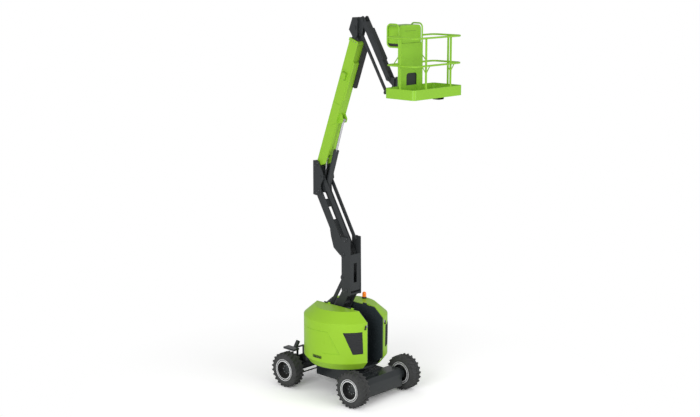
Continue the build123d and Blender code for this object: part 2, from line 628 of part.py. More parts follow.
# Main boom: box tube on two foot plates, with the lift cylinder's bracket and a hose trough under it, doubler
# plates at the bracket and a small cover on its near side
with BuildPart() as main_boom:
    with BuildSketch(BOOM_PLANE.offset(-BOOM_HALF)):
        Polygon((BOOM_TUBE_FROM, BOOM_DOWN), (BOOM_END, BOOM_DOWN), (BOOM_END, BOOM_UP),
                (BOOM_TUBE_FROM, BOOM_UP), align=None)
    extrude(amount=2 * BOOM_HALF)
    inner = BOOM_HALF - BOOM_WALL
    with BuildSketch(BOOM_PLANE.offset(-inner)):
        Polygon((BOOM_TUBE_FROM + 20, BOOM_DOWN + BOOM_WALL), (BOOM_END + 1, BOOM_DOWN + BOOM_WALL),
                (BOOM_END + 1, BOOM_UP - BOOM_WALL), (BOOM_TUBE_FROM + 20, BOOM_UP - BOOM_WALL), align=None)
    extrude(amount=2 * inner, mode=Mode.SUBTRACT)
    foot = [(BOOM_TUBE_FROM + 10, BOOM_UP), (60, BOOM_UP), (-45, 40), (-60, -20), (0, -64), (100, -190),
            (BOOM_TUBE_FROM + 10, BOOM_DOWN)]
    plate_pair(foot, BOOM_HALF - 22, BOOM_HALF, plane=BOOM_PLANE)
    bracket = [(1060, BOOM_DOWN + 4), (1130, -310), (1210, -310), (1330, BOOM_DOWN + 4)]
    plate_pair(bracket, CYL_HALF, CYL_HALF + 20, plane=BOOM_PLANE)
    rod_pair(LIFT_EYE, 30, CYL_HALF + 20, CYL_HALF + 32)
    doubler = [(960, BOOM_UP - 15), (960, -70), (1090, BOOM_DOWN + 10), (1480, BOOM_DOWN + 10),
               (1480, BOOM_UP - 15)]
    plate_pair(doubler, BOOM_HALF - 1, BOOM_HALF + 8, plane=BOOM_PLANE)
    trough = [(1590, BOOM_DOWN + 4), (1610, BOOM_DOWN - 45), (2475, BOOM_DOWN - 45), (2495, BOOM_DOWN + 4)]
    plate(trough, -38, BOOM_HALF - 5, plane=BOOM_PLANE)
    valve_cover = [(2045, -130), (2205, -130), (2205, -20), (2045, -20)]
    plate(valve_cover, BOOM_HALF - 1, BOOM_HALF + 60, plane=BOOM_PLANE)
    rod_pair(MASTER_EYE, 18, 32, BOOM_HALF - 20)
    rod(BOOM_PIVOT, PIN_R + FIT, -200, 200, mode=Mode.SUBTRACT)
save(main_boom.part, "main_boom")

# Boom collar: the band at the boom's mouth that holds the fly's wear pads
with BuildPart() as boom_collar:
    with BuildSketch(BOOM_PLANE.offset(-BOOM_HALF - 12)):
        Polygon((BOOM_END, BOOM_DOWN - 12), (BOOM_END + 30, BOOM_DOWN - 12), (BOOM_END + 60, BOOM_DOWN + 18),
                (BOOM_END + 60, BOOM_UP + 12), (BOOM_END, BOOM_UP + 12), align=None)
    extrude(amount=2 * (BOOM_HALF + 12))
    with BuildSketch(BOOM_PLANE.offset(-FLY_HALF - FIT)):
        Polygon((BOOM_END - 1, FLY_DOWN - FIT), (BOOM_END + 61, FLY_DOWN - FIT),
                (BOOM_END + 61, FLY_UP + FIT), (BOOM_END - 1, FLY_UP + FIT), align=None)
    extrude(amount=2 * (FLY_HALF + FIT), mode=Mode.SUBTRACT)
save(boom_collar.part, "boom_collar")

# Fly: inner box section with two nose plates on the levelling pivot
with BuildPart() as fly:
    with BuildSketch(BOOM_PLANE.offset(-FLY_HALF)):
        Polygon((1200, FLY_DOWN), (FLY_END - 65, FLY_DOWN), (FLY_END, FLY_DOWN + 90), (FLY_END, FLY_UP),
                (1200, FLY_UP), align=None)
    extrude(amount=2 * FLY_HALF)
    with BuildSketch(BOOM_PLANE.offset(-FLY_HALF + FLY_WALL)):
        Polygon((1199, FLY_DOWN + FLY_WALL), (FLY_END - 80, FLY_DOWN + FLY_WALL),
                (FLY_END - 80, FLY_UP - FLY_WALL),
                (1199, FLY_UP - FLY_WALL), align=None)
    extrude(amount=2 * (FLY_HALF - FLY_WALL), mode=Mode.SUBTRACT)
    for y_from in (FLY_HALF - 20, -FLY_HALF):
        with BuildSketch(BOOM_PLANE.offset(y_from)):
            with Locations((LEVEL_AT, 0)):
                Circle(44)
            with Locations((FLY_END - 10, -25)):
                Rectangle(20, 110)
            make_hull()
        extrude(amount=20)
    rod(LEVEL_PIVOT, PIN_R - 4 + FIT, -200, 200, mode=Mode.SUBTRACT)
save(fly.part, "fly")

# Cable tube: dark tube under the boom, held by a plate on the fly's nose
with BuildPart() as cable_tube:
    top = BOOM_DOWN - 20
    foot = top - 85
    neck = BOOM_END + 66
    plate([(1920, foot), (2800, foot), (2800, top), (1920, top)], -125, -45, plane=BOOM_PLANE)
    plate([(2740, foot), (2800, foot), (neck + 18, top - 10), (neck + 18, FLY_DOWN), (neck, FLY_DOWN),
           (neck, top), (2740, top)], -FLY_HALF + 1, -45, plane=BOOM_PLANE)
save(cable_tube.part, "cable_tube")

# Jib knuckle: two cheeks on the fly's nose with a front plate between them, and the jib's lugs on that plate
FRONT_X = LEVEL_PIVOT[0] + 51
KNUCKLE_TOP = LEVEL_PIVOT[1] + 213
KNUCKLE = [step(LEVEL_PIVOT, corner) for corner in ((-73, 213), (67, 213), (67, -144), (12, -229),
                                                    (-53, -209), (-173, -41))]
with BuildPart() as jib_knuckle:
    plate_pair(KNUCKLE, KNUCKLE_IN, KNUCKLE_OUT)
    block(FRONT_X, FRONT_X + 16, -KNUCKLE_OUT, KNUCKLE_OUT, LEVEL_PIVOT[1] - 84, KNUCKLE_TOP)
    block(FRONT_X - 119, FRONT_X + 16, -KNUCKLE_OUT, KNUCKLE_OUT, KNUCKLE_TOP - 16, KNUCKLE_TOP)
    bar_pair([JIB_ROOT, JIB_ROOT_LINK, (FRONT_X + 8, KNUCKLE_TOP - 12), (FRONT_X + 8, LEVEL_PIVOT[1] - 72)],
             [42, 36, 8, 8],
             JIB_LUG_IN, JIB_LUG_OUT)
    rod_pair(LEVEL_PIVOT, PIN_R - 4, 60, KNUCKLE_OUT + 10)
    rod(JIB_ROOT, PIN_R - 4, -JIB_HALF - 10, JIB_HALF + 10)
    rod(JIB_ROOT_LINK, 15, -JIB_LUG_OUT - 10, JIB_LUG_OUT + 10)
save(jib_knuckle.part, "jib_knuckle")

# Jib arm: channel open towards the link, forked at both ends, with a raised cover on its back
JIB_PLANE = Plane(
    origin=(JIB_ROOT[0], 0, JIB_ROOT[1]),
    x_dir=(math.cos(math.radians(JIB_ANGLE)), 0, math.sin(math.radians(JIB_ANGLE))),
    z_dir=(0, -1, 0),
)
JIB_SIDE = [(-50, JIB_LIP), (-78, -15), (-78, 42), (-52, JIB_BACK), (JIB_LENGTH + 20, JIB_BACK),
            (JIB_LENGTH + 58, 32), (JIB_LENGTH + 58, -15), (JIB_LENGTH + 28, JIB_LIP)]
JIB_GAP = JIB_HALF - JIB_WALL
with BuildPart() as jib_arm:
    plate(JIB_SIDE, -JIB_HALF, JIB_HALF, plane=JIB_PLANE)
    slab(JIB_ROOT, JIB_ANGLE, (-100, JIB_LENGTH + 100), (-100, JIB_BACK - JIB_WALL), JIB_GAP,
         mode=Mode.SUBTRACT)
    for s_range in ((-100, 70), (JIB_LENGTH - 140, JIB_LENGTH + 100)):
        slab(JIB_ROOT, JIB_ANGLE, s_range, (-100, 100), JIB_GAP, mode=Mode.SUBTRACT)
    plate([(215, JIB_BACK - 2), (240, JIB_BACK + 34), (945, JIB_BACK + 34), (970, JIB_BACK - 2)],
          -JIB_HALF + 4, JIB_HALF - 4, plane=JIB_PLANE)
    for point in (JIB_ROOT, JIB_TIP):
        rod(point, PIN_R - 4 + FIT, -200, 200, mode=Mode.SUBTRACT)
save(jib_arm.part, "jib_arm")

# Jib link: slender bar under the jib arm that keeps the platform level
with BuildPart() as jib_link:
    bar([JIB_ROOT_LINK, JIB_TIP_LINK], [JIB_LINK_R, JIB_LINK_R], -JIB_LINK_HALF, JIB_LINK_HALF)
    for point in (JIB_ROOT_LINK, JIB_TIP_LINK):
        rod(point, 15 + FIT, -200, 200, mode=Mode.SUBTRACT)
save(jib_link.part, "jib_link")

ROTATOR_Z = JIB_TIP[1] - 104

# Platform mount: block with the rotator's upright barrel, on lugs inside the jib arm's fork
with BuildPart() as platform_mount:
    bar_pair([JIB_TIP, (ROTATOR_X - 112, ROTATOR_Z + 100), (ROTATOR_X - 112, ROTATOR_Z - 60)], [42, 12, 12],
             JIB_LUG_IN, JIB_LUG_OUT)
    bar_pair([JIB_TIP_LINK, (ROTATOR_X - 112, ROTATOR_Z - 92), (ROTATOR_X - 112, ROTATOR_Z - 40)],
             [36, 12, 12], JIB_LUG_IN, JIB_LUG_OUT)
    rod(JIB_TIP, PIN_R - 4, -JIB_HALF - 10, JIB_HALF + 10)
    rod(JIB_TIP_LINK, 15, -JIB_LUG_OUT - 10, JIB_LUG_OUT + 10)
    block(ROTATOR_X - 120, ROTATOR_X - 60, -KNUCKLE_OUT, KNUCKLE_OUT, ROTATOR_Z - 117, ROTATOR_Z + 117)
    with Locations((ROTATOR_X, 0, ROTATOR_Z)):
        Cylinder(95, 234)
        Cylinder(30, 300)
save(platform_mount.part, "platform_mount")

# Platform bracket: two arms from the rotator's pin to the platform's rear panel
with BuildPart() as platform_bracket:
    for low, high in ((ROTATOR_Z - 147, ROTATOR_Z - 118), (ROTATOR_Z + 118, ROTATOR_Z + 147)):
        block(ROTATOR_X, TOE_BACK, -90, 90, low, high)
        with Locations((ROTATOR_X, 0, (low + high) / 2)):
            Cylinder(90, high - low)
            Cylinder(30 + FIT, high - low, mode=Mode.SUBTRACT)
    block(TOE_BACK - 20, TOE_BACK, -230, 230, ROTATOR_Z - 182, ROTATOR_Z + 278)
save(platform_bracket.part, "platform_bracket")

# Platform floor: plate with toe boards all round, rounded at the corners, and a low sill under the rear panel
with BuildPart() as platform_floor:
    middle = ((TOE_BACK + PLATFORM_FRONT) / 2, 0)
    with BuildSketch(Plane.XY.offset(PLATFORM_BOTTOM)):
        with Locations(middle):
            RectangleRounded(PLATFORM_FRONT - TOE_BACK, 2 * PLATFORM_HALF, TOE_CORNER)
    extrude(amount=TOE_HEIGHT)
    with BuildSketch(Plane.XY.offset(FLOOR_TOP)):
        with Locations(middle):
            RectangleRounded(PLATFORM_FRONT - TOE_BACK - 2 * TOE_THICK, 2 * (PLATFORM_HALF - TOE_THICK),
                             TOE_CORNER - TOE_THICK)
    extrude(amount=TOE_HEIGHT, mode=Mode.SUBTRACT)
    block(TOE_BACK + TOE_THICK - 2, PANEL_X + PANEL_THICK,
          -PLATFORM_HALF + TOE_CORNER, PLATFORM_HALF - TOE_CORNER,
          FLOOR_TOP - 5, FLOOR_TOP + SILL_HEIGHT)
save(platform_floor.part, "platform_floor")

# Switch guard: a small dark tray under the floor
with BuildPart() as switch_guard:
    block(PLATFORM_FRONT - 340, PLATFORM_FRONT - 180, 220, 380, PLATFORM_BOTTOM - 70, PLATFORM_BOTTOM)
    block(PLATFORM_FRONT - 332, PLATFORM_FRONT - 180, 228, 372, PLATFORM_BOTTOM - 62, PLATFORM_BOTTOM - 8,
          mode=Mode.SUBTRACT)
save(switch_guard.part, "switch_guard")


def rail(z):
    """A rail around three sides of the platform, its ends cut round against the hoops' posts."""
    corners = [(RAIL_BACK, -POST_Y), (RAIL_BACK, -PLATFORM_HALF + RAIL_R),
               (PLATFORM_FRONT - RAIL_R, -PLATFORM_HALF + RAIL_R),
               (PLATFORM_FRONT - RAIL_R, PLATFORM_HALF - RAIL_R),
               (RAIL_BACK, PLATFORM_HALF - RAIL_R), (RAIL_BACK, POST_Y)]
    with BuildPart() as tube:
        with BuildLine():
            FilletPolyline(*[(x, y, z) for x, y in corners], radius=RAIL_CORNER)
        with BuildSketch(Plane(origin=(RAIL_BACK, -POST_Y, z), z_dir=(0, -1, 0))):
            Circle(RAIL_R)
        sweep()
        with Locations((RAIL_BACK, -POST_Y, z), (RAIL_BACK, POST_Y, z)):
            Cylinder(HOOP_R + FIT / 3, 4 * RAIL_R, mode=Mode.SUBTRACT)
            Box(4 * HOOP_R, HOOP_R, 4 * RAIL_R, mode=Mode.SUBTRACT)
    return tube.part


save(rail(TOP_RAIL_Z), "top_rail")
save(rail(MID_RAIL_Z), "mid_rail")

# Posts: uprights from the floor to the top rail, cut clear of the rails they meet
POST_X = (PLATFORM_BACK + PLATFORM_FRONT) / 2
with BuildPart() as posts:
    spots = [(POST_X, PLATFORM_HALF - RAIL_R), (POST_X, -PLATFORM_HALF + RAIL_R),
             (PLATFORM_FRONT - RAIL_R, 380), (PLATFORM_FRONT - RAIL_R, -380)]
    for x, y in spots:
        for low, high in ((TOE_TOP, MID_RAIL_Z - RAIL_R), (MID_RAIL_Z + RAIL_R, TOP_RAIL_Z - RAIL_R)):
            block(x - 15, x + 15, y - 15, y + 15, low, high)
save(posts.part, "posts")

# Rear panel: sheet between the hoops' posts, with an opening that has rounded lower corners
OPENING = (-125, 198)
with BuildPart() as rear_panel:
    block(PANEL_X, PANEL_X + PANEL_THICK, -POST_Y + HOOP_R, POST_Y - HOOP_R,
          FLOOR_TOP + SILL_HEIGHT, CONSOLE_BOTTOM)
    with BuildSketch(Plane.YZ.offset(PANEL_X - 1)):
        with Locations(((OPENING[0] + OPENING[1]) / 2, FLOOR_TOP + 220)):
            Rectangle(OPENING[1] - OPENING[0], 360)
        fillet(vertices().sort_by(Axis.Y)[:2], radius=60)
    extrude(amount=PANEL_THICK + 2, mode=Mode.SUBTRACT)
save(rear_panel.part, "rear_panel")

# Console tray: the dark underside of the control box, on the rear panel
with BuildPart() as console_tray:
    block(TOE_BACK - 295, PANEL_X, -POST_Y + HOOP_R + 12, POST_Y - HOOP_R - 12, TRAY_BOTTOM, CONSOLE_BOTTOM)
save(console_tray.part, "console_tray")

# Console: control box on its tray, with two opposite edges rounded
with BuildPart() as console:
    with BuildSketch(Plane.YZ.offset(TOE_BACK - 317)):
        with Locations((0, CONSOLE_BOTTOM + 180)):
            Rectangle(2 * (POST_Y - HOOP_R - 4), 360)
        corners = vertices().sort_by(Axis((0, 0, 0), (1, 1, 0)))
        fillet([corners[0], corners[-1]], radius=90)
    extrude(amount=320)
save(console.part, "console")

# Guard hoops: posts on the rear toe board that bend back over the console and return below it
HOOP_BACK = TOE_BACK - 302 + HOOP_R
HOOP_LOW = TOP_RAIL_Z - 218
HOOP_HIGH = TOP_RAIL_Z + 252 - HOOP_R
HOOP_MIDDLE = (HOOP_LOW + HOOP_HIGH) / 2
HOOP_BEND = 90
with BuildPart() as hoops:
    for y in (-POST_Y, POST_Y):
        with BuildLine() as upper:
            FilletPolyline((RAIL_BACK, y, TOE_TOP), (RAIL_BACK, y, HOOP_HIGH), (HOOP_BACK, y, HOOP_HIGH),
                           (HOOP_BACK, y, HOOP_MIDDLE), radius=HOOP_BEND)
        with BuildSketch(Plane(origin=(RAIL_BACK, y, TOE_TOP), z_dir=(0, 0, 1))) as round_tube:
            Circle(HOOP_R)
        sweep(round_tube.sketch, path=upper.line)
        with BuildLine() as lower:
            FilletPolyline((HOOP_BACK, y, HOOP_MIDDLE), (HOOP_BACK, y, HOOP_LOW), (RAIL_BACK, y, HOOP_LOW),
                           radius=HOOP_BEND)
        with BuildSketch(Plane(origin=(HOOP_BACK, y, HOOP_MIDDLE), z_dir=(0, 0, -1))) as round_tube:
            Circle(HOOP_R)
        sweep(round_tube.sketch, path=lower.line)
save(hoops.part, "hoops")
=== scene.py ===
# Articulating boom lift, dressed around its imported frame: metres, +X towards the platform, +Z up.
import json
import math

import bmesh
import bpy
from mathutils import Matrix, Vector


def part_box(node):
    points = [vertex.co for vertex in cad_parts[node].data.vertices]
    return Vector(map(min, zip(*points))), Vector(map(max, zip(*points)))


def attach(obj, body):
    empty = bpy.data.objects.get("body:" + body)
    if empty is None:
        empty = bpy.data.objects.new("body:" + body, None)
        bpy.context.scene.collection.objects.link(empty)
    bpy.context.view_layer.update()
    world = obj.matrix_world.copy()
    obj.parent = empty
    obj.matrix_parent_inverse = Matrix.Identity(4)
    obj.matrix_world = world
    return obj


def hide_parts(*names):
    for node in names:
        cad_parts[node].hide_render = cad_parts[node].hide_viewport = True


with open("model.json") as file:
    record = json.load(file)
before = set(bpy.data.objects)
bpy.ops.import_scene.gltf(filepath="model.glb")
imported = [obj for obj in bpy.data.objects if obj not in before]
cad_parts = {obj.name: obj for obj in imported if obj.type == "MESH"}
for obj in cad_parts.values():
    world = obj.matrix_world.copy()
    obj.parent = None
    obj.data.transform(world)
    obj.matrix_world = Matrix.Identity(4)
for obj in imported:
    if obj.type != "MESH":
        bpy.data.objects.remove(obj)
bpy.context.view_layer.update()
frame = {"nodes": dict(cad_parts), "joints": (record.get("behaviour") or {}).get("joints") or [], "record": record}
scene = bpy.context.scene
joints = {joint["name"]: joint for joint in frame["joints"]}


# Chassis, axles and steering: welded plate and box section, shot blasted and sprayed with one coat of
# dark grey. The coat has a fine orange peel, and road dust dulls whatever sits close to the ground.
CHASSIS_GREY = (44, 48, 50)
CHASSIS_SCUFF = (62, 66, 68)
ROAD_DUST = (128, 122, 112)
DUST_TOP = 0.35
DUST_SHARE = 0.14
SCUFF_SHARE = 0.12
TONE_SPREAD = 0.015
COAT_ROUGHNESS = 0.15
GLOSS_LESS = 0.03
GLOSS_MORE = 0.05
PEEL_STRENGTH = 0.02
PEEL_DEPTH = 0.0004
PLATE_EDGE_R = 0.005
EDGE_SAMPLES = 4


def chip(colour, level=1.0):
    """Linear colour of a 0-255 paint chip, made lighter or darker by a level."""
    linear = []
    for value in colour:
        share = value / 255
        linear.append(level * (share / 12.92 if share <= 0.04045 else ((share + 0.055) / 1.055) ** 2.4))
    return (*linear, 1.0)


def shader(name):
    """A new material with its node tree, shader and object coordinates."""
    material = bpy.data.materials.new(name)
    material.use_nodes = True
    tree = material.node_tree
    place = tree.nodes.new("ShaderNodeTexCoord")
    return material, tree, tree.nodes["Principled BSDF"], place.outputs["Object"]


def ramp(tree, value, start, end, low, high):
    """A level that runs from low to high while a value runs from start to end."""
    spread = tree.nodes.new("ShaderNodeMapRange")
    for socket, level in (("From Min", start), ("From Max", end), ("To Min", low), ("To Max", high)):
        spread.inputs[socket].default_value = level
    tree.links.new(value, spread.inputs["Value"])
    return spread.outputs["Result"]


def cloud(tree, place, scale, detail, low, high, start=0.35, end=0.65):
    """Noise over the surface, spread between two levels."""
    noise = tree.nodes.new("ShaderNodeTexNoise")
    noise.inputs["Scale"].default_value = scale
    noise.inputs["Detail"].default_value = detail
    tree.links.new(place, noise.inputs["Vector"])
    return ramp(tree, noise.outputs["Fac"], start, end, low, high)


def arithmetic(tree, operation, *values):
    """The outcome of one arithmetic step on numbers and other outcomes."""
    step = tree.nodes.new("ShaderNodeMath")
    step.operation = operation
    for socket, value in zip(step.inputs, values):
        if isinstance(value, float):
            socket.default_value = value
        else:
            tree.links.new(value, socket)
    return step.outputs["Value"]


def tint(tree, amount, under, over):
    """Colour that goes from one tone to another by an amount; under is a colour or another tint."""
    mix = tree.nodes.new("ShaderNodeMix")
    mix.data_type = "RGBA"
    if isinstance(under, tuple):
        mix.inputs["A"].default_value = under
    else:
        tree.links.new(under, mix.inputs["A"])
    mix.inputs["B"].default_value = over
    tree.links.new(amount, mix.inputs["Factor"])
    return mix.outputs["Result"]


def dent(tree, height, strength, distance, surface, edge=0.0):
    """Bump from a height on a shader, over edges softened to a radius."""
    bump = tree.nodes.new("ShaderNodeBump")
    bump.inputs["Strength"].default_value = strength
    bump.inputs["Distance"].default_value = distance
    tree.links.new(height, bump.inputs["Height"])
    if edge:
        softened = tree.nodes.new("ShaderNodeBevel")
        softened.samples = EDGE_SAMPLES
        softened.inputs["Radius"].default_value = edge
        tree.links.new(softened.outputs["Normal"], bump.inputs["Normal"])
    tree.links.new(bump.outputs["Normal"], surface.inputs["Normal"])


def sprayed(name, colour, scuff, gloss, dust_top=0.0, coat=0.0, shine=0.5):
    """Sprayed paint: faintly cloudy tone, rare scuffs, uneven gloss, orange peel, and dust up to a height."""
    material, tree, surface, place = shader(name)
    surface.inputs["Specular IOR Level"].default_value = shine
    surface.inputs["Coat Weight"].default_value = coat
    surface.inputs["Coat Roughness"].default_value = COAT_ROUGHNESS
    tone = tint(tree, cloud(tree, place, scale=1.3, detail=2, low=0, high=1),
                chip(colour, 1 - TONE_SPREAD), chip(colour, 1 + TONE_SPREAD))
    scuffs = cloud(tree, place, scale=17, detail=7, low=0, high=SCUFF_SHARE, start=0.7, end=0.8)
    tone = tint(tree, scuffs, tone, chip(scuff))
    if dust_top:
        split = tree.nodes.new("ShaderNodeSeparateXYZ")
        tree.links.new(place, split.inputs["Vector"])
        fade = ramp(tree, split.outputs["Z"], 0, dust_top, DUST_SHARE, 0)
        patches = cloud(tree, place, scale=6, detail=5, low=0.2, high=1)
        tone = tint(tree, arithmetic(tree, "MULTIPLY", fade, patches), tone, chip(ROAD_DUST))
    tree.links.new(tone, surface.inputs["Base Color"])
    uneven = cloud(tree, place, scale=5, detail=4, low=gloss - GLOSS_LESS, high=gloss + GLOSS_MORE)
    tree.links.new(uneven, surface.inputs["Roughness"])
    peel = cloud(tree, place, scale=260, detail=2, low=0, high=1)
    dent(tree, peel, PEEL_STRENGTH, PEEL_DEPTH, surface, edge=PLATE_EDGE_R)
    return material


def coat_nodes(material, *names):
    """Give CAD nodes a finish."""
    for name in names:
        for slot in frame["nodes"][name].material_slots:
            slot.material = material


chassis_paint = sprayed("chassis_paint", CHASSIS_GREY, CHASSIS_SCUFF,
                        gloss=0.2, dust_top=DUST_TOP, shine=0.45)
coat_nodes(chassis_paint, "chassis_frame", "drive_axle_beam", "hub_drives", "steer_axle", "lock_cylinders",
           "mudguard_right", "mudguard_left", "knuckle_right", "knuckle_left", "tie_rod", "deck")


# Tyres and wheels: moulded rubber with deep bars that widen at their feet, on a pressed steel rim with
# two bright lips. Eight nuts hold each wheel disc on the drum of its hub.
RIGHT = Vector((0, -1, 0))
LEFT = Vector((0, 1, 0))
TYRE_GREY = (68, 69, 69)
TYRE_DUST = (80, 80, 79)
TYRE_SHINE = 0.25
TYRE_EDGE_R = 0.006
TYRE_SHARP = math.radians(40)
RIM_SILVER = (240, 241, 242)
DISC_PAINT_AND_SHADE = (40, 42, 44)
DISC_INSET = 0.014
LIP_R = (0.232, 0.193)
LIP_WIDTH = (0.026, 0.021)
LIP_METAL = 0.3
ZINC_GREY = (120, 122, 124)
ZINC_SCUFF = (90, 90, 90)
NUTS = 8
NUT_CIRCLE_R = 0.092
NUT_R = 0.013
NUT_HEIGHT = 0.014
HEXAGON = 6
DRUM_R = 0.118
DRUM_HOLE_R = 0.0615
DRUM_DEPTH = 0.05
DRUM_DRAFT = 0.004
DRUM_CHAMFER = 0.012
DRUM_SIDES = 40
FORMED_SHARP = math.radians(32)
BARS = 22
BAR_START = math.radians(5.48)
BAR_MIDDLE = 0.068
BAR_LEAN = 0.048
BAR_REACH = 0.12
FOOT_TOP_R = 0.378
FOOT_HEIGHT = 0.035
FOOT_WIDTH = 0.05
FOOT_LENGTH = 0.11


def rubber(name):
    """Moulded rubber, made paler by dust in patches."""
    material, tree, surface, place = shader(name)
    dust = cloud(tree, place, scale=9, detail=6, low=0, high=0.5, start=0.45, end=0.7)
    tree.links.new(tint(tree, dust, chip(TYRE_GREY), chip(TYRE_DUST)), surface.inputs["Base Color"])
    tree.links.new(cloud(tree, place, scale=20, detail=4, low=0.72, high=0.92), surface.inputs["Roughness"])
    surface.inputs["Specular IOR Level"].default_value = TYRE_SHINE
    grain = cloud(tree, place, scale=120, detail=4, low=0, high=1)
    dent(tree, grain, strength=0.2, distance=0.001, surface=surface, edge=TYRE_EDGE_R)
    return material


def distance_from_origin(tree, place):
    """The length of a place vector."""
    length = tree.nodes.new("ShaderNodeVectorMath")
    length.operation = "LENGTH"
    tree.links.new(place, length.inputs[0])
    return length.outputs["Value"]


def wheel_steel(name, centre):
    """Rim steel, told apart by the distance from the axle: bright silver lips, and between and inside them a dark
    grey that is partly the centre's own dark paint and partly painted shade over the recessed gutter and barrel.
    """
    material, tree, surface, place = shader(name)
    shift = tree.nodes.new("ShaderNodeMapping")
    shift.inputs["Location"].default_value = (-centre.x, 0, -centre.z)
    shift.inputs["Scale"].default_value = (1, 0, 1)
    tree.links.new(place, shift.inputs["Vector"])
    radius = distance_from_origin(tree, shift.outputs["Vector"])
    bands = [arithmetic(tree, "COMPARE", radius, start + width / 2, width / 2)
             for start, width in zip(LIP_R, LIP_WIDTH)]
    bright = arithmetic(tree, "MAXIMUM", *bands)
    dust = cloud(tree, place, scale=12, detail=5, low=0, high=0.12)
    # Dark grey, partly the wheel centre's own dark paint and partly painted shade in the recessed gutter between
    # the lips and down the barrel; road dust lies over it.
    disc = tint(tree, dust, chip(DISC_PAINT_AND_SHADE), chip(ROAD_DUST))
    tree.links.new(tint(tree, bright, disc, chip(RIM_SILVER)), surface.inputs["Base Color"])
    tree.links.new(arithmetic(tree, "MULTIPLY", bright, LIP_METAL), surface.inputs["Metallic"])
    tree.links.new(cloud(tree, place, scale=30, detail=4, low=0.24, high=0.36), surface.inputs["Roughness"])
    grain = cloud(tree, place, scale=150, detail=3, low=0, high=1)
    dent(tree, grain, strength=0.1, distance=0.0005, surface=surface)
    return material


def node_group(name, sizes):
    """An empty geometry tree with a finish and named sizes as its inputs."""
    tree = bpy.data.node_groups.new(name, "GeometryNodeTree")
    tree.interface.new_socket("Geometry", in_out="INPUT", socket_type="NodeSocketGeometry")
    tree.interface.new_socket("Finish", in_out="INPUT", socket_type="NodeSocketMaterial")
    for size in sizes:
        kind = "NodeSocketInt" if size == "Sides" else "NodeSocketFloat"
        tree.interface.new_socket(size, in_out="INPUT", socket_type=kind)
    tree.interface.new_socket("Geometry", in_out="OUTPUT", socket_type="NodeSocketGeometry")
    return tree, tree.nodes.new("NodeGroupInput"), tree.nodes.new("NodeGroupOutput")


def close_group(tree, shape, given, result):
    """Real geometry with its finish at the end of a tree."""
    real = tree.nodes.new("GeometryNodeRealizeInstances")
    finish = tree.nodes.new("GeometryNodeSetMaterial")
    tree.links.new(shape, real.inputs["Geometry"])
    tree.links.new(real.outputs["Geometry"], finish.inputs["Geometry"])
    tree.links.new(given.outputs["Finish"], finish.inputs["Material"])
    tree.links.new(finish.outputs["Geometry"], result.inputs["Geometry"])


def point_vector(tree, name):
    """A vector that each point carries under a name."""
    stored = tree.nodes.new("GeometryNodeInputNamedAttribute")
    stored.data_type = "FLOAT_VECTOR"
    stored.inputs["Name"].default_value = name
    return stored.outputs["Attribute"]


def set_on_points(tree, given, result, shape, rotation):
    """Close a tree with a shape on every given point, turned by a rotation."""
    spread = tree.nodes.new("GeometryNodeInstanceOnPoints")
    tree.links.new(given.outputs["Geometry"], spread.inputs["Points"])
    tree.links.new(shape, spread.inputs["Instance"])
    tree.links.new(rotation, spread.inputs["Rotation"])
    close_group(tree, spread.outputs["Instances"], given, result)


def heads_tree():
    """Round or hexagonal heads that stand on points and face along each point's own direction."""
    tree, given, result = node_group("fastener_heads", ("Sides", "Radius", "Height"))
    head = tree.nodes.new("GeometryNodeMeshCylinder")
    for size, socket in (("Sides", "Vertices"), ("Radius", "Radius"), ("Height", "Depth")):
        tree.links.new(given.outputs[size], head.inputs[socket])
    turn = tree.nodes.new("FunctionNodeAlignRotationToVector")
    tree.links.new(point_vector(tree, "facing"), turn.inputs["Vector"])
    set_on_points(tree, given, result, head.outputs["Mesh"], turn.outputs["Rotation"])
    return tree


fastener_heads = heads_tree()


def grow(name, mesh, tree, finish, sizes):
    """Run a geometry tree over a mesh of points or paths and keep the outcome as a plain piece."""
    piece = bpy.data.objects.new(name, mesh)
    scene.collection.objects.link(piece)
    modifier = piece.modifiers.new("shape", "NODES")
    modifier.node_group = tree
    wanted = {"Finish": finish, **sizes}
    for item in tree.interface.items_tree:
        if item.in_out == "INPUT" and item.name in wanted:
            modifier[item.identifier] = wanted[item.name]
    bpy.context.view_layer.update()
    shaped = piece.evaluated_get(bpy.context.evaluated_depsgraph_get())
    plain = bpy.data.meshes.new_from_object(shaped)
    piece.modifiers.remove(modifier)
    piece.data = plain
    return piece


def points_mesh(name, points, **vectors):
    """A mesh of loose points that carry named vectors."""
    mesh = bpy.data.meshes.new(name)
    mesh.from_pydata(points, [], [])
    for attribute, values in vectors.items():
        stored = mesh.attributes.new(attribute, "FLOAT_VECTOR", "POINT")
        stored.data.foreach_set("vector", [number for vector in values for number in vector])
    return mesh


def heads(name, body, spots, finish, sides, radius, height):
    """Fastener heads on spots, each a point and the way it faces, riding on a body."""
    middles = [point + way * height / 2 for point, way in spots]
    mesh = points_mesh(name, middles, facing=[way for _, way in spots])
    sizes = {"Sides": sides, "Radius": radius, "Height": height}
    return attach(grow(name, mesh, fastener_heads, finish, sizes), body)


def formed_piece(name, shape, finish):
    """A piece from a built-up shape, with its faces outwards and its sharp edges kept."""
    bmesh.ops.recalc_face_normals(shape, faces=shape.faces[:])
    mesh = bpy.data.meshes.new(name)
    shape.to_mesh(mesh)
    shape.free()
    mesh.materials.append(finish)
    mesh.shade_smooth()
    mesh.set_sharp_from_angle(angle=FORMED_SHARP)
    piece = bpy.data.objects.new(name, mesh)
    scene.collection.objects.link(piece)
    return piece


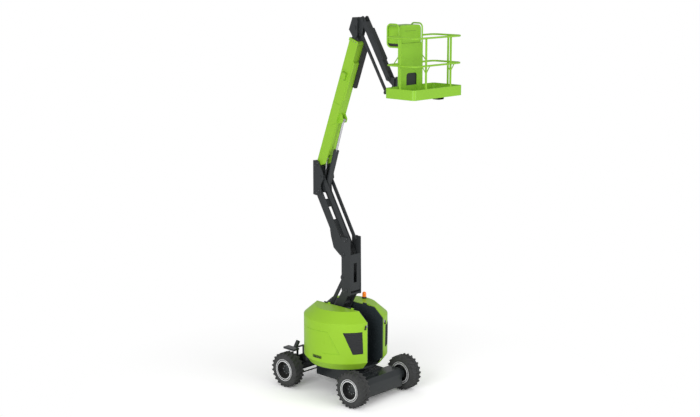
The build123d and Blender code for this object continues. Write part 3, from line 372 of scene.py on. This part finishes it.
def lathe(name, profile, centre, axis, sides, finish):
    """A turned piece: (distance along, radius) pairs round an axis through a centre."""
    across = axis.orthogonal().normalized()
    other = axis.cross(across)
    shape = bmesh.new()
    rings = []
    for along, radius in profile:
        ring = []
        for side in range(sides if radius > 0 else 1):
            turn = 2 * math.pi * side / sides
            spoke = across * math.cos(turn) + other * math.sin(turn)
            ring.append(shape.verts.new(centre + axis * along + radius * spoke))
        rings.append(ring)
    for low, high in zip(rings, rings[1:]):
        for side in range(sides):
            corners = [low[side % len(low)], low[(side + 1) % len(low)],
                       high[(side + 1) % len(high)], high[side % len(high)]]
            shape.faces.new(list(dict.fromkeys(corners)))
    return formed_piece(name, shape, finish)


def tread_tree():
    """Bars that lie on points along one direction of each point and stand up along another."""
    tree, given, result = node_group("tread_bars", ("Length", "Width", "Height"))
    size = tree.nodes.new("ShaderNodeCombineXYZ")
    bar = tree.nodes.new("GeometryNodeMeshCube")
    for measure, axis in (("Width", "X"), ("Length", "Y"), ("Height", "Z")):
        tree.links.new(given.outputs[measure], size.inputs[axis])
    tree.links.new(size.outputs["Vector"], bar.inputs["Size"])
    lying = tree.nodes.new("FunctionNodeAlignRotationToVector")
    lying.axis = "Y"
    tree.links.new(point_vector(tree, "along"), lying.inputs["Vector"])
    standing = tree.nodes.new("FunctionNodeAlignRotationToVector")
    standing.axis = "Z"
    standing.pivot_axis = "Y"
    tree.links.new(point_vector(tree, "facing"), standing.inputs["Vector"])
    tree.links.new(lying.outputs["Rotation"], standing.inputs["Rotation"])
    set_on_points(tree, given, result, bar.outputs["Mesh"], standing.outputs["Rotation"])
    return tree


tread_bars = tread_tree()


def lug_feet(name, centre, outward, finish):
    """The wide feet of a tyre's two rows of leaning bars."""
    way = outward.y
    points = []
    alongs = []
    facings = []
    for row in (1, -1):
        for bar in range(BARS):
            turn = BAR_START + math.pi * (2 * bar + (1 - row) / 2) / BARS
            tangent = Vector((way * math.cos(turn), 0, -math.sin(turn)))
            radial = Vector((-way * math.sin(turn), 0, -math.cos(turn)))
            across = Vector((0, way * row, 0))
            points.append(centre + radial * (FOOT_TOP_R - FOOT_HEIGHT / 2) + across * BAR_MIDDLE)
            alongs.append((tangent * BAR_LEAN + across * BAR_REACH).normalized())
            facings.append(radial)
    mesh = points_mesh(name, points, along=alongs, facing=facings)
    sizes = {"Length": FOOT_LENGTH, "Width": FOOT_WIDTH, "Height": FOOT_HEIGHT}
    return grow(name, mesh, tread_bars, finish, sizes)


drum_profile = [(0, DRUM_HOLE_R), (0, DRUM_R), (DRUM_DEPTH - DRUM_CHAMFER, DRUM_R - DRUM_DRAFT),
                (DRUM_DEPTH, DRUM_R - DRUM_DRAFT - DRUM_CHAMFER), (DRUM_DEPTH, DRUM_HOLE_R), (0, DRUM_HOLE_R)]
tyre_rubber = rubber("tyre_rubber")
zinc = sprayed("zinc_fastener", ZINC_GREY, ZINC_SCUFF, gloss=0.42)
for end in ("drive", "steer"):
    low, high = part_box(f"rim_{end}_right")
    steel = wheel_steel(f"wheel_steel_{end}", (low + high) / 2)
    for side, outward in (("right", RIGHT), ("left", LEFT)):
        wheel = f"wheel_{end}_{side}"
        coat_nodes(tyre_rubber, f"tyre_{end}_{side}")
        coat_nodes(steel, f"rim_{end}_{side}")
        tyre = frame["nodes"][f"tyre_{end}_{side}"].data
        tyre.shade_smooth()
        tyre.set_sharp_from_angle(angle=TYRE_SHARP)
        centre = Vector(joints[f"{wheel}_spin"]["pos_m"])
        feet = lug_feet(f"lug_feet_{end}_{side}", centre, outward, tyre_rubber)
        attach(feet, wheel)
        disc_face = centre - outward * DISC_INSET
        drum = lathe(f"hub_drum_{end}_{side}", drum_profile, disc_face, outward, DRUM_SIDES, chassis_paint)
        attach(drum, wheel)
        spots = []
        for nut in range(NUTS):
            turn = 2 * math.pi * nut / NUTS
            ring_spot = NUT_CIRCLE_R * Vector((math.cos(turn), 0, math.sin(turn)))
            spots.append((disc_face + outward * DRUM_DEPTH + ring_spot, outward))
        nuts = heads(f"wheel_nuts_{end}_{side}", wheel, spots, zinc, HEXAGON, NUT_R, NUT_HEIGHT)


# Turntable: a thick round plate on the slew ring, with the tower plates of the riser welded on it.
# The slot walls are sheet steel in bluish dark grey; the counterweight is cast iron and the engine one block.
SLOT_GREY = (50, 58, 61)
SLOT_SCUFF = (50, 56, 58)
IRON_GREY = (44, 45, 46)
IRON_SCUFF = (84, 82, 78)
slot_paint = sprayed("slot_paint", SLOT_GREY, SLOT_SCUFF, gloss=0.25)
cast_iron = sprayed("cast_iron", IRON_GREY, IRON_SCUFF, gloss=0.7)
coat_nodes(chassis_paint, "tower")
coat_nodes(slot_paint, "slot_wall_right", "slot_wall_left", "engine_block")
coat_nodes(cast_iron, "counterweight")


# Hoods: moulded shells in gloss green, hinged at the top of the slot walls, each with a pressed line.
# A louvred vent in dark moulded plastic is set into each; its louvres follow the curve of the shell.
# A dark grip with a bar sits low on the wall, and a catch with a steel lever holds the shell shut.
HOOD_GREEN = (155, 205, 50)
GREEN_SCUFF = (138, 190, 48)
HOOD_WALL_R = 0.92
VENT_GREY = (52, 53, 55)
VENT_SCUFF = (66, 67, 68)
VENT_MIDDLE = -36.4
LOUVRE_R = 0.918
LOUVRE_ROWS = 12
LOUVRE_HEIGHTS = (1.05, 1.5)
LOUVRE_STARTS = (-0.014, -0.208)
LOUVRE_ENDS = (0.208, 0.19)
LOUVRE_STEPS = 8
LOUVRE_SECTION = (0.016, 0.009)
PRESSING = [(-112, 1.5), (-71.6, 1.516), (-54.7, 1.042), (-80, 1.03)]
PRESSING_STEPS = 14
PRESSING_SECTION = (0.014, 0.005)
GRIP_ANGLES = (-97, -81)
GRIP_ROWS = (0.9, 0.917, 0.934, 0.951)
GRIP_STEPS = 6
GRIP_SECTION = (0.019, 0.006)
GRIP_BAR = [(-94.5, 0.918), (-82.5, 0.918)]
GRIP_BAR_LIFT = 0.004
GRIP_BAR_SECTION = (0.02, 0.012)
LATCH_BLACK = (18, 18, 19)
LATCH_SCUFF = (40, 40, 40)
CATCH = [(-20, 1.56), (-19, 1.65)]
CATCH_STEPS = 3
CATCH_SECTION = (0.06, 0.02)
LEVER_STEEL = (176, 178, 180)
LEVER_SCUFF = (130, 130, 130)
LEVER = [(-17.8, 1.61), (-17.4, 1.665)]
LEVER_LIFT = 0.006
LEVER_SECTION = (0.026, 0.016)
hood_paint = sprayed("hood_paint", HOOD_GREEN, GREEN_SCUFF, gloss=0.34, coat=0.04, shine=0.22)
vent_plastic = sprayed("vent_plastic", VENT_GREY, VENT_SCUFF, gloss=0.6, shine=0.3)
coat_nodes(hood_paint, "hood_right", "hood_left")
coat_nodes(vent_plastic, "vent_right", "vent_left")


def strips_tree():
    """Flat or square strips drawn along the edges of a mesh."""
    tree, given, result = node_group("drawn_strips", ("Width", "Depth"))
    path = tree.nodes.new("GeometryNodeMeshToCurve")
    section = tree.nodes.new("GeometryNodeCurvePrimitiveQuadrilateral")
    sweep = tree.nodes.new("GeometryNodeCurveToMesh")
    sweep.inputs["Fill Caps"].default_value = True
    tree.links.new(given.outputs["Geometry"], path.inputs["Mesh"])
    tree.links.new(given.outputs["Width"], section.inputs["Width"])
    tree.links.new(given.outputs["Depth"], section.inputs["Height"])
    tree.links.new(path.outputs["Curve"], sweep.inputs["Curve"])
    tree.links.new(section.outputs["Curve"], sweep.inputs["Profile Curve"])
    close_group(tree, sweep.outputs["Mesh"], given, result)
    return tree


drawn_strips = strips_tree()


def strips(name, paths, finish, section):
    """Strips of one section drawn along rows of points."""
    edges = []
    start = 0
    for path in paths:
        edges += [(start + step, start + step + 1) for step in range(len(path) - 1)]
        start += len(path)
    mesh = bpy.data.meshes.new(name)
    mesh.from_pydata([point for path in paths for point in path], edges, [])
    width, depth = section
    return grow(name, mesh, drawn_strips, finish, {"Width": width, "Depth": depth})


def between(ends, share):
    """The value at a share of the way between two ends."""
    return ends[0] + (ends[1] - ends[0]) * share


def on_hood(mirrored, corners, steps, lift=0.0):
    """Points on a hood's wall between two corners, each an angle round the swing axis and a height."""
    points = []
    for step in range(steps + 1):
        degrees, height = (between(ends, step / steps) for ends in zip(*corners))
        turn = math.radians(degrees)
        radius = HOOD_WALL_R + lift
        points.append(Vector((radius * math.cos(turn), mirrored * radius * math.sin(turn), height)))
    return points


for side, mirrored in (("right", 1), ("left", -1)):
    rows = []
    for row in range(LOUVRE_ROWS):
        share = row / (LOUVRE_ROWS - 1)
        ends = [(VENT_MIDDLE + math.degrees(between(edge, share) / LOUVRE_R), between(LOUVRE_HEIGHTS, share))
                for edge in (LOUVRE_STARTS, LOUVRE_ENDS)]
        rows.append(on_hood(mirrored, ends, LOUVRE_STEPS, LOUVRE_R - HOOD_WALL_R))
    louvres = strips(f"louvres_{side}", rows, vent_plastic, LOUVRE_SECTION)
    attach(louvres, f"hood_{side}")

latch_black = sprayed("latch_black", LATCH_BLACK, LATCH_SCUFF, gloss=0.4)
latch_steel = sprayed("latch_steel", LEVER_STEEL, LEVER_SCUFF, gloss=0.35)
for side, mirrored in (("right", 1), ("left", -1)):
    pressing = [on_hood(mirrored, corners, PRESSING_STEPS) for corners in zip(PRESSING, PRESSING[1:])]
    ridge = strips(f"pressed_ridge_{side}", pressing, hood_paint, PRESSING_SECTION)
    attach(ridge, f"hood_{side}")
    pocket = [on_hood(mirrored, [(angle, height) for angle in GRIP_ANGLES], GRIP_STEPS)
              for height in GRIP_ROWS]
    grip = strips(f"grip_pocket_{side}", pocket, latch_black, GRIP_SECTION)
    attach(grip, f"hood_{side}")
    bar = [on_hood(mirrored, GRIP_BAR, GRIP_STEPS, GRIP_BAR_LIFT)]
    handle = strips(f"grip_bar_{side}", bar, vent_plastic, GRIP_BAR_SECTION)
    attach(handle, f"hood_{side}")
    catch = strips(f"catch_{side}", [on_hood(mirrored, CATCH, CATCH_STEPS)], latch_black, CATCH_SECTION)
    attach(catch, f"hood_{side}")
    pull = [on_hood(mirrored, LEVER, CATCH_STEPS, LEVER_LIFT)]
    lever = strips(f"catch_lever_{side}", pull, latch_steel, LEVER_SECTION)
    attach(lever, f"hood_{side}")


# Beacon: a warning lamp on the left hood. Its black plastic base is screwed to the shell, and the moulded
# orange lens over it has rings of ribs and closes in a low dome.
LENS_ORANGE = (242, 122, 26)
LENS_PALE = (250, 140, 40)
LENS_GLOW = 0.35
LENS_ROUGHNESS = 0.18
LENS_COAT = 0.5
LENS_SEAT = 0.038
LENS_R = 0.046
RIBS = 5
RIB_PITCH = 0.015
RIB_CREST = (0.042, 0.0455)
RIB_ROOT = (0.05, 0.044)
DOME = [(0.122, 0.043), (0.136, 0.036), (0.146, 0.02)]
BASE_BLACK = (24, 24, 25)
BASE_SCUFF = (50, 50, 50)
BASE_R = 0.05
BASE_HEIGHT = 0.03
BEACON_SIDES = 32
UPWARDS = Vector((0, 0, 1))
beacon_low, beacon_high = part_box("beacon")
beacon_foot = Vector(((beacon_low.x + beacon_high.x) / 2, (beacon_low.y + beacon_high.y) / 2, beacon_low.z))
lens_material, lens_tree, lens_surface, lens_place = shader("beacon_lens")
lens_cloud = cloud(lens_tree, lens_place, scale=25, detail=3, low=0, high=1)
lens_tone = tint(lens_tree, lens_cloud, chip(LENS_ORANGE), chip(LENS_PALE))
lens_tree.links.new(lens_tone, lens_surface.inputs["Base Color"])
lens_surface.inputs["Roughness"].default_value = LENS_ROUGHNESS
lens_surface.inputs["Emission Color"].default_value = chip(LENS_ORANGE)
lens_surface.inputs["Emission Strength"].default_value = LENS_GLOW
lens_surface.inputs["Coat Weight"].default_value = LENS_COAT
base_plastic = sprayed("beacon_base", BASE_BLACK, BASE_SCUFF, gloss=0.5)
lens_profile = [(LENS_SEAT, 0), (LENS_SEAT, LENS_R)]
for rib in range(RIBS):
    lens_profile += [(height + rib * RIB_PITCH, radius) for height, radius in (RIB_CREST, RIB_ROOT)]
lens_profile += DOME + [(beacon_high.z - beacon_low.z, 0)]
base_profile = [(0, 0), (0, BASE_R), (BASE_HEIGHT, BASE_R), (LENS_SEAT, LENS_R), (LENS_SEAT, 0)]
lens = lathe("beacon_lens", lens_profile, beacon_foot, UPWARDS, BEACON_SIDES, lens_material)
base = lathe("beacon_base", base_profile, beacon_foot, UPWARDS, BEACON_SIDES, base_plastic)
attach(lens, "hood_left")
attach(base, "hood_left")
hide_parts("beacon")


# Riser: two pairs of plate arms with their levelling links, on pins through the tower and the uprights.
# All of it is the same dark grey; the cylinders have painted barrels and hard chromed rods.
ARM_GREY = (50, 53, 55)
ARM_SCUFF = (74, 77, 79)
CHROME = (216, 216, 220)
CHROME_DULL = (190, 190, 195)
PIN_SIDES = 32
PIN_FLANGE_R = 0.058
PIN_FLANGE_THICK = 0.006
PIN_BOLT_R = 0.009
PIN_BOLT_HEIGHT = 0.008
PIN_BOLT_CIRCLE = 0.044
PIN_BOLT_TURNS = (math.radians(40), math.radians(220))
CHEEK_FACE = 0.175
GLAND_PROUD = 0.002
GLAND_SKIN = 0.0005
GLAND_BEVEL = 0.002
GLAND_BACK = -0.05
GLAND_FRONT = 0.012
GLAND_SIDES = 40
ROD_PLAY = 0.0015
arm_paint = sprayed("arm_paint", ARM_GREY, ARM_SCUFF, gloss=0.42, shine=0.35)
coat_nodes(arm_paint, "lower_arm", "lower_link", "mid_upright", "upper_arm", "upper_link", "upper_upright",
           "riser_barrel", "lift_barrel", "master_barrel")


def hard_chrome(name):
    """Ground and chromed rod, with a faintly uneven polish."""
    material, tree, surface, place = shader(name)
    tone = tint(tree, cloud(tree, place, scale=40, detail=4, low=0, high=1), chip(CHROME), chip(CHROME_DULL))
    tree.links.new(tone, surface.inputs["Base Color"])
    surface.inputs["Metallic"].default_value = 1.0
    tree.links.new(cloud(tree, place, scale=60, detail=4, low=0.14, high=0.26), surface.inputs["Roughness"])
    return material


chrome = hard_chrome("rod_chrome")
coat_nodes(chrome, "riser_rod", "lift_rod", "master_rod")


def pin_ends(joint, face):
    """The two ends of a joint's pin at a distance to either side, each with the way it faces."""
    centre = Vector(joints[joint]["pos_m"])
    return [(Vector((centre.x, way.y * face, centre.z)), way) for way in (LEFT, RIGHT)]


def pin_flanges(body, pin_joints, face):
    """A bolted flange on both outer faces of a body, round each of its pins."""
    flanges = [end for joint in pin_joints for end in pin_ends(joint, face)]
    bolts = []
    for spot, way in flanges:
        for turn in PIN_BOLT_TURNS:
            ring_spot = PIN_BOLT_CIRCLE * Vector((math.cos(turn), 0, math.sin(turn)))
            bolts.append((spot + way * PIN_FLANGE_THICK + ring_spot, way))
    heads(f"pin_flanges_{body}", body, flanges, arm_paint,
                  PIN_SIDES, PIN_FLANGE_R, PIN_FLANGE_THICK)
    heads(f"pin_bolts_{body}", body, bolts, zinc,
                  HEXAGON, PIN_BOLT_R, PIN_BOLT_HEIGHT)


pin_flanges("turntable", ("riser_lift", "lower_link_pivot"), CHEEK_FACE)
pin_flanges("mid_upright", ("mid_level", "upper_arm_pivot", "upper_link_pivot"), CHEEK_FACE)
pin_flanges("upper_upright", ("top_level", "boom_lift"), CHEEK_FACE)


def gland(name, body, pivot, slide, reach, barrel_r, rod_r):
    """The screwed ring at the mouth of a cylinder's barrel."""
    axis = Vector(joints[slide]["axis"]).normalized()
    mouth = Vector(joints[pivot]["pos_m"]) + axis * reach
    outer_r = barrel_r + GLAND_PROUD
    inner_r = rod_r + ROD_PLAY
    profile = [(GLAND_BACK, barrel_r + GLAND_SKIN), (GLAND_BACK + GLAND_BEVEL, outer_r),
               (GLAND_FRONT - 2 * GLAND_BEVEL, outer_r), (GLAND_FRONT, barrel_r - GLAND_BEVEL),
               (GLAND_FRONT, inner_r), (0, inner_r)]
    ring = lathe(name, profile, mouth, axis, GLAND_SIDES, arm_paint)
    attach(ring, body)


gland("lift_gland", "lift_barrel", "lift_barrel_pivot", "lift_rod_slide",
      reach=0.91, barrel_r=0.06, rod_r=0.025)
gland("master_gland", "master_barrel", "master_barrel_pivot", "master_rod_slide",
      reach=0.33, barrel_r=0.03, rod_r=0.015)


# Boom: a welded box tube in gloss green with a collar at its mouth; the fly slides in it on wear pads.
# The cable tube under it is black plastic. Screws hold the wear pads in the collar and the valve cover.
BOOM_GREEN = (150, 202, 54)
CABLE_BLACK = (46, 46, 48)
CABLE_SCUFF = (60, 60, 62)
PAD_SCREWS_ALONG = 2.91
PAD_SCREWS_UP = (-0.14, -0.07, 0.0)
COLLAR_FACE = 0.122
PAD_SCREW_R = 0.011
PAD_SCREW_HEIGHT = 0.007
COVER_SCREWS_ALONG = (2.06, 2.19)
COVER_SCREWS_UP = (-0.115, -0.035)
COVER_FACE = 0.17
COVER_SCREW_SIDES = 12
COVER_SCREW_R = 0.007
COVER_SCREW_HEIGHT = 0.004
boom_paint = sprayed("boom_paint", BOOM_GREEN, GREEN_SCUFF, gloss=0.34, coat=0.05, shine=0.3)
cable_plastic = sprayed("cable_plastic", CABLE_BLACK, CABLE_SCUFF, gloss=0.6, shine=0.3)
coat_nodes(boom_paint, "main_boom", "boom_collar")
coat_nodes(arm_paint, "fly")
coat_nodes(cable_plastic, "cable_tube")
boom_foot = Vector(joints["boom_lift"]["pos_m"])
boom_way = Vector(joints["telescope"]["axis"]).normalized()
boom_up = Vector((-boom_way.z, 0, boom_way.x))


def on_boom(along, up, side, face):
    """A spot on a side of the boom: along it from its foot pin, above its pin line, and the way it faces."""
    return boom_foot + boom_way * along + boom_up * up + side * face, side


pad_screws = [on_boom(PAD_SCREWS_ALONG, up, side, COLLAR_FACE)
              for side in (LEFT, RIGHT) for up in PAD_SCREWS_UP]
cover_screws = [on_boom(along, up, RIGHT, COVER_FACE)
                for along in COVER_SCREWS_ALONG for up in COVER_SCREWS_UP]
heads("wear_pad_screws", "boom", pad_screws, zinc,
              HEXAGON, PAD_SCREW_R, PAD_SCREW_HEIGHT)
heads("cover_screws", "boom", cover_screws, zinc,
              COVER_SCREW_SIDES, COVER_SCREW_R, COVER_SCREW_HEIGHT)


# Jib: knuckle plates, a channel arm and its levelling link, down to the bracket that carries the rotator.
# The pins end in round heads outside the plates they join.
PIN_HEAD_HEIGHT = 0.007
coat_nodes(arm_paint, "jib_knuckle", "jib_arm", "jib_link", "platform_mount", "platform_bracket")


def pin_heads(name, body, joint, face, radius):
    """A round head on both ends of a pin."""
    spots = pin_ends(joint, face)
    heads(name, body, spots, arm_paint, PIN_SIDES, radius, PIN_HEAD_HEIGHT)


pin_heads("level_pin_heads", "jib_knuckle", "jib_level", face=0.12, radius=0.036)
pin_heads("jib_root_heads", "jib_knuckle", "jib_lift", face=0.08, radius=0.036)
pin_heads("jib_tip_heads", "platform_mount", "mount_level", face=0.08, radius=0.036)
pin_heads("link_root_heads", "jib_knuckle", "jib_link_pivot", face=0.06, radius=0.024)


# Platform: welded green tube and sheet. The rails are bent in one piece, the posts are square tube with
# small knee braces at the mid rail, and the floor is studded sheet. The console is a box with two rounded
# upper edges on a dark tray, and the panel under it has an opening with rounded upper corners.
PLATFORM_GREEN = (142, 197, 52)
STUD_R = 0.01
STUD_HEIGHT = 0.003
STUD_PITCH = 0.046
STUD_MARGIN = 0.12
STUD_FIRST_X = 0.09
STUD_FIRST_Y = 0.07
BACK_POST_Y = 0.36
FRONT_POST_Y = 0.38
BRACE_REACH = 0.15
FRONT_BRACE_REACH = 0.12
BRACE_SECTION = (0.014, 0.014)
CONSOLE_ROUND = 0.09
OPENING_FROM = -0.125
OPENING_TO = 0.198
OPENING_SILL = 0.04
OPENING_HEAD = 0.4
OPENING_ROUND = 0.06
ROUND_STEPS = 10
SEAM_DROP = 0.115
SEAM_FROM = 0.18
SEAM_TO = 0.16
SEAM_SECTION = (0.006, 0.003)
platform_paint = sprayed("platform_paint", PLATFORM_GREEN, GREEN_SCUFF, gloss=0.36, coat=0.05, shine=0.3)
coat_nodes(platform_paint, "platform_floor", "top_rail", "mid_rail", "posts", "hoops")
coat_nodes(vent_plastic, "console_tray", "switch_guard")
floor_low, floor_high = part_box("platform_floor")
floor_top = next(m for m in frame["record"]["mounts"] if m["name"] == "platform_floor")["pos_m"][2]
studs = []
stud_rows = int((floor_high.x - floor_low.x - STUD_MARGIN) / STUD_PITCH)
stud_columns = int((floor_high.y - floor_low.y - STUD_MARGIN) / STUD_PITCH)
for row in range(stud_rows):
    for column in range(stud_columns):
        along = floor_low.x + STUD_FIRST_X + row * STUD_PITCH
        across = floor_low.y + STUD_FIRST_Y + (column + 0.5 * (row % 2)) * STUD_PITCH
        studs.append((Vector((along, across, floor_top)), UPWARDS))
heads("floor_studs", "platform", studs, platform_paint, HEXAGON, STUD_R, STUD_HEIGHT)

rail_low, rail_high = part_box("mid_rail")
rail_r = (rail_high.z - rail_low.z) / 2
rail_z = (rail_low.z + rail_high.z) / 2
rail_back = rail_low.x + rail_r
rail_front = rail_high.x - rail_r
braces = []
for post_y, way in ((-BACK_POST_Y, -1), (BACK_POST_Y, 1)):
    braces.append([Vector((rail_back, post_y, rail_z + BRACE_REACH)),
                   Vector((rail_back, post_y + way * BRACE_REACH, rail_z))])
for post_y, way in ((-FRONT_POST_Y, 1), (FRONT_POST_Y, -1), (FRONT_POST_Y, 1), (-FRONT_POST_Y, -1)):
    braces.append([Vector((rail_front, post_y, rail_z - BRACE_REACH)),
                   Vector((rail_front, post_y + way * FRONT_BRACE_REACH, rail_z))])
brace_bars = strips("knee_braces", braces, platform_paint, BRACE_SECTION)
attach(brace_bars, "platform")


def upright_outline(low, high, top_radius=0.0):
    """Corners (y, z) of an upright rectangle, with its two upper ones rounded where a radius is given."""
    points = [(low.y, low.z), (high.y, low.z)]
    if not top_radius:
        return points + [(high.y, high.z), (low.y, high.z)]
    centre_z = high.z - top_radius
    for centre_y, start in ((high.y - top_radius, 0), (low.y + top_radius, 90)):
        for step in range(ROUND_STEPS + 1):
            turn = math.radians(start + 90 * step / ROUND_STEPS)
            points.append((centre_y + top_radius * math.cos(turn), centre_z + top_radius * math.sin(turn)))
    return points


def upright_sheet(name, loops, back, front, finish):
    """A sheet or box across the lift: an outline and its openings, between two distances along X."""
    shape = bmesh.new()
    edges = []
    for loop in loops:
        corners = [shape.verts.new((back, y, z)) for y, z in loop]
        edges += [shape.edges.new((corners[step - 1], corners[step])) for step in range(len(corners))]
    filled = bmesh.ops.triangle_fill(shape, use_beauty=True, use_dissolve=False, edges=edges)
    faces = [item for item in filled["geom"] if isinstance(item, bmesh.types.BMFace)]
    drawn = bmesh.ops.extrude_face_region(shape, geom=faces, use_keep_orig=True)
    moved = [item for item in drawn["geom"] if isinstance(item, bmesh.types.BMVert)]
    bmesh.ops.translate(shape, verts=moved, vec=(front - back, 0, 0))
    return formed_piece(name, shape, finish)


console_low, console_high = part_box("console")
console_box = upright_sheet("console_box", [upright_outline(console_low, console_high, CONSOLE_ROUND)],
                            console_low.x, console_high.x, platform_paint)
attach(console_box, "platform")
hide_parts("console")
panel_low, panel_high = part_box("rear_panel")
opening_low = Vector((0, OPENING_FROM, floor_top + OPENING_SILL))
opening_high = Vector((0, OPENING_TO, floor_top + OPENING_HEAD))
panel_sheet = upright_sheet("panel_sheet", [upright_outline(panel_low, panel_high),
                                            upright_outline(opening_low, opening_high, OPENING_ROUND)],
                            panel_low.x, panel_high.x, platform_paint)
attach(panel_sheet, "platform")
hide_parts("rear_panel")
seam_z = console_high.z - SEAM_DROP
seam = [Vector((console_high.x, y, seam_z)) for y in (console_low.y + SEAM_FROM, console_high.y - SEAM_TO)]
lid_seam = strips("console_seam", [seam], vent_plastic, SEAM_SECTION)
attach(lid_seam, "platform")


# Studio: a pale floor that fades to white around the lift, one wide soft lamp in front and to the left,
# a weaker one to the right, and an even surround that is white to the camera and dimmer as a light.
FLOOR_TONE = (0.9, 0.9, 0.9, 1.0)
FLOOR_GAIN = (1.44, 1.44, 1.44, 1.0)
FLOOR_SHADE_R = 1.5
FLOOR_WHITE_R = 6.0
FLOOR_HALF = 60
FLOOR_Z = -0.002
SURROUND_LIGHT = 0.5
LAMP_AIM = Vector((0.3, 0, 4.0))
floor_corners = [(x * FLOOR_HALF, y * FLOOR_HALF, FLOOR_Z) for x, y in ((-1, -1), (1, -1), (1, 1), (-1, 1))]
floor_mesh = bpy.data.meshes.new("studio_floor")
floor_mesh.from_pydata(floor_corners, [], [(0, 1, 2, 3)])
floor = bpy.data.objects.new("studio_floor", floor_mesh)
scene.collection.objects.link(floor)
floor_material, floor_tree, floor_surface, floor_place = shader("studio_floor")
floor_mesh.materials.append(floor_material)
floor_tree.nodes.remove(floor_surface)
seen = floor_tree.nodes.new("ShaderNodeLightPath").outputs["Is Camera Ray"]
matt = floor_tree.nodes.new("ShaderNodeBsdfDiffuse")
floor_tree.links.new(tint(floor_tree, seen, FLOOR_TONE, FLOOR_GAIN), matt.inputs["Color"])
floor_reach = distance_from_origin(floor_tree, floor_place)
faded = ramp(floor_tree, floor_reach, FLOOR_SHADE_R, FLOOR_WHITE_R, 0, 1)
white = floor_tree.nodes.new("ShaderNodeEmission")
blend = floor_tree.nodes.new("ShaderNodeMixShader")
floor_tree.links.new(arithmetic(floor_tree, "MULTIPLY", faded, seen), blend.inputs["Fac"])
floor_tree.links.new(matt.outputs["BSDF"], blend.inputs[1])
floor_tree.links.new(white.outputs["Emission"], blend.inputs[2])
floor_tree.links.new(blend.outputs["Shader"], floor_tree.nodes["Material Output"].inputs["Surface"])

world = bpy.data.worlds.new("studio_surround")
scene.world = world
world.use_nodes = True
surround = world.node_tree
backdrop = surround.nodes["Background"]
backdrop.inputs["Color"].default_value = (1, 1, 1, 1)
ray = surround.nodes.new("ShaderNodeLightPath")
strength = ramp(surround, ray.outputs["Is Camera Ray"], 0, 1, SURROUND_LIGHT, 1)
surround.links.new(strength, backdrop.inputs["Strength"])


def aimed(place, aim):
    """The turn of a lamp or camera that looks from a place at a spot."""
    return (aim - place).to_track_quat("-Z", "Y").to_euler()


def soft_lamp(name, place, size, power):
    """A square soft lamp pointed at the middle of the lift."""
    lamp = bpy.data.lights.new(name, "AREA")
    lamp.size = size
    lamp.energy = power
    holder = bpy.data.objects.new(name, lamp)
    holder.location = place
    holder.rotation_euler = aimed(Vector(place), LAMP_AIM)
    scene.collection.objects.link(holder)


soft_lamp("front_lamp", (6.0, -17.0, 8.0), size=9.0, power=1500)
soft_lamp("right_lamp", (16.0, 2.0, 8.0), size=8.0, power=850)

# Camera: the photograph's own viewpoint, a long lens from the platform side and slightly above.
CAMERA_PLACE = Vector((18.788, -19.743, 9.542))
CAMERA_AIM = Vector((0.0682, 0.0649, 4.045))
CAMERA_LENS = 66.117
CAMERA_SENSOR = 36.0
camera = bpy.data.objects.new("camera", bpy.data.cameras.new("camera"))
camera.data.lens = CAMERA_LENS
camera.data.sensor_width = CAMERA_SENSOR
camera.location = CAMERA_PLACE
camera.rotation_euler = aimed(CAMERA_PLACE, CAMERA_AIM)
scene.collection.objects.link(camera)
scene.camera = camera
scene.view_settings.view_transform = "Standard"
